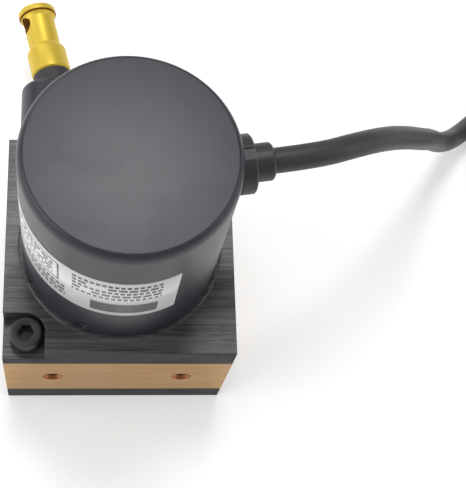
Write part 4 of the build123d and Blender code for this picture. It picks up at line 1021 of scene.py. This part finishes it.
class SENSOR_OT_cable(bpy.types.Operator):
    """Build the cable, its tied coil and its open conductors"""

    bl_idname = "sensor.cable"
    bl_label = "Cable"

    def execute(self, context):
        sizes = context.scene.sensor_sizes
        turn_step = 15
        # A curve pulled by points cuts their corners, so they lie a little further out.
        pull = 1 / math.cos(math.radians(turn_step / 2))
        points = [Vector(point) / MM for point in cable_route]
        for angle in [*range(0, jacket_end_angle, turn_step), jacket_end_angle]:
            radius, height = winding_place(angle)
            points.append(on_coil(angle, radius * pull, height))
        cable = cable_curve("signal_cable", points, cable_radius, "jacket")
        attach(cable, "housing")
        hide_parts("cable_lead", "cable_coil")

        bands = []
        for tie_angle in tie_angles:
            inward = on_coil(tie_angle + 90, 1, 0) - on_coil(tie_angle + 90, 0, 0)
            shells = []
            for radius, half_width in ((cable_radius + tie_thickness, 1.5), (cable_radius, 3.0)):
                wheels = []
                for angle in range(tie_angle, jacket_end_angle, 360):
                    middle = on_coil(tie_angle, *winding_place(angle))
                    wheels.append(rod(radius, -half_width, half_width, frame_along(middle, inward), 28))
                shell = joined(*wheels)
                hull = bmesh.ops.convex_hull(shell, input=shell.verts)
                bmesh.ops.delete(shell, geom=hull["geom_interior"] + hull["geom_unused"], context="VERTS")
                shells.append(shell)
            bands.append(combined(shells[0], [shells[1]]))
        ties = finished(joined(*bands), "cable_ties", "coil_ties", "moulded", edge=0.0001, steps=2)

        end_radius, end_height = winding_place(jacket_end_angle)
        rest = second_layer + cable_radius + 0.3
        bare_angle = math.degrees(sizes.conductor_length / MM / coil_middle_turn)
        for number, colour in enumerate(wire_colours):
            upper = number % 2
            side = 0.75 if number > 1 else -0.75
            level = 0.75 if upper else -0.75
            radius, height = coil_middle_turn + side * (1.0 + 1.1 * upper), rest + 0.25 * upper
            laid = [on_coil(jacket_end_angle + share * bare_angle, radius, height) for share in (0.4, 0.6, 0.8, 1.0)]
            path = [
                on_coil(jacket_end_angle - 3, end_radius + side * 0.8, end_height + level * 0.8),
                on_coil(jacket_end_angle + 5, end_radius + side, end_height + level * 0.9),
                *laid[:3],
            ]
            shade = colour.split()[0].lower()
            wire = cable_curve("conductor_" + shade, path, 0.55, colour, 5)
            tip = [laid[1].lerp(laid[2], 0.8), *laid[2:]]
            bare = cable_curve("conductor_tip_" + shade, tip, 0.36, "strand", 4)
            for made in (wire, bare):
                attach(made, "housing")
        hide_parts("conductor_ends")
        return {"FINISHED"}


class SENSOR_OT_inside(bpy.types.Operator):
    """Give the working pieces inside their finishes"""

    bl_idname = "sensor.inside"
    bl_label = "Inner pieces"

    def execute(self, context):
        bearings = ("lower_bearing", "upper_bearing")
        finishes = {
            "bright": [
                "drum_shaft", "potentiometer_shaft", "potentiometer_nut", "sensor_spacers", "bracket_screws",
                "board_spacers", "board_screws", "ball_end", "spring_cup", "spring_arbor",
                *(f"{bearing}_{part}" for bearing in bearings for part in ("outer_ring", "inner_ring", "balls")),
            ],
            "turned": ["wire_drum", "shaft_coupling", "sensor_bracket"],
            "strand": ["wound_wire"],
            "spring": ["power_spring", "shaft_circlip"],
            "screw": ["coupling_screws"],
            "sensor": ["potentiometer_body"],
            "board": ["transmitter_board"],
            "rubber": ["can_seal", "gland_seal"],
            "moulded": ["gland_locknut"],
            "jacket": ["cable_tail"],
            "Yellow insulation": ["inner_conductors"],
        }
        for finish, nodes in finishes.items():
            for name in nodes:
                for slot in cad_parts[name].material_slots:
                    slot.material = materials[finish]
        return {"FINISHED"}


class SENSOR_OT_stage(bpy.types.Operator):
    """Set the pale floor, the soft light and the camera"""

    bl_idname = "sensor.stage"
    bl_label = "Stage"

    def execute(self, context):
        scene = context.scene
        scene.view_settings.view_transform = "Standard"

        floor_shape = bmesh.new()
        bmesh.ops.create_grid(floor_shape, x_segments=1, y_segments=1, size=2.5)
        floor = placed("floor", shape_mesh(floor_shape, "floor"))
        material, tree, output = new_material("Pale floor")
        seen = any_ray(tree, "Is Camera Ray", "Is Glossy Ray", "Is Transmission Ray")
        paper = put(tree, "ShaderNodeBsdfDiffuse", {"Color": (0.82, 0.82, 0.82, 1)})
        glow = product(tree, seen, 0.33)
        lift = put(tree, "ShaderNodeEmission", {"Color": (1, 1, 1, 1), "Strength": glow})
        both = put(tree, "ShaderNodeAddShader", {0: paper.outputs[0], 1: lift.outputs[0]})
        tree.links.new(both.outputs[0], output.inputs[0])
        floor.data.materials.append(material)

        world = bpy.data.worlds.new("Soft room")
        scene.world = world
        world.use_nodes = True
        sky = world.node_tree
        sky.nodes.clear()
        seen = any_ray(sky, "Is Camera Ray", "Is Transmission Ray")
        fill = 0.34
        strength = reckon(sky, "ADD", product(sky, seen, 1 - fill), fill)
        background = put(sky, "ShaderNodeBackground", {"Color": (1, 1, 1, 1), "Strength": strength})
        put(sky, "ShaderNodeOutputWorld", {0: background.outputs[0]})

        # Each lamp's place, the point that it faces, its width and its power
        lamps = {
            "overhead": ((0.025, 0.29, 0.80), (0.0, 0.0, 0.05), 0.28, 2.8),
            "side_fill": ((0.8, -0.1, 0.45), (0.0, 0.0, 0.05), 0.6, 1.5),
            "left_fill": ((-0.75, -0.15, 0.5), (0.0, 0.0, 0.03), 0.8, 4.0),
            "back_fill": ((-0.45, 0.75, 0.40), (0.0, 0.0, 0.05), 0.5, 1.6),
        }
        for name, (place, target, size, power) in lamps.items():
            lamp = bpy.data.lights.new(name, "AREA")
            lamp.shape = "DISK"
            lamp.size = size
            lamp.energy = power
            holder = placed(name, lamp)
            holder.location = place
            holder.rotation_euler = (Vector(target) - Vector(place)).to_track_quat("-Z", "Y").to_euler()

        lens = bpy.data.cameras.new("photo_view")
        lens.sensor_width = 36
        lens.lens = 85.31
        lens.clip_start = 0.01
        camera = placed("photo_view", lens)
        camera.location = (-0.011141, -0.093552, 0.273600)
        camera.rotation_euler = (0.378077, -0.136369, -0.036673)
        scene.camera = camera
        return {"FINISHED"}


class SENSOR_PT_panel(bpy.types.Panel):
    bl_idname = "SENSOR_PT_panel"
    bl_label = "Draw wire sensor"
    bl_space_type = "VIEW_3D"
    bl_region_type = "UI"
    bl_category = "Draw wire sensor"

    def draw(self, context):
        layout = self.layout
        for settings in (context.scene.sensor_sizes, context.scene.sensor_colours):
            for name in type(settings).__annotations__:
                layout.prop(settings, name)
        for operator in piece_operators:
            layout.operator(operator.bl_idname)


piece_operators = (
    SENSOR_OT_plates,
    SENSOR_OT_cover,
    SENSOR_OT_screws,
    SENSOR_OT_outlet,
    SENSOR_OT_fitting,
    SENSOR_OT_gland,
    SENSOR_OT_cable,
    SENSOR_OT_inside,
    SENSOR_OT_stage,
)
classes = (SensorSizes, SensorColours, *piece_operators, SENSOR_PT_panel)


def register():
    for cls in classes:
        bpy.utils.register_class(cls)
    bpy.types.Scene.sensor_sizes = PointerProperty(type=SensorSizes)
    bpy.types.Scene.sensor_colours = PointerProperty(type=SensorColours)


def unregister():
    del bpy.types.Scene.sensor_colours
    del bpy.types.Scene.sensor_sizes
    for cls in reversed(classes):
        bpy.utils.unregister_class(cls)


def main():
    register()
    make_materials()
    for operator in piece_operators:
        category, action = operator.bl_idname.split(".")
        getattr(getattr(bpy.ops, category), action)()


if __name__ == "__main__":
    main()
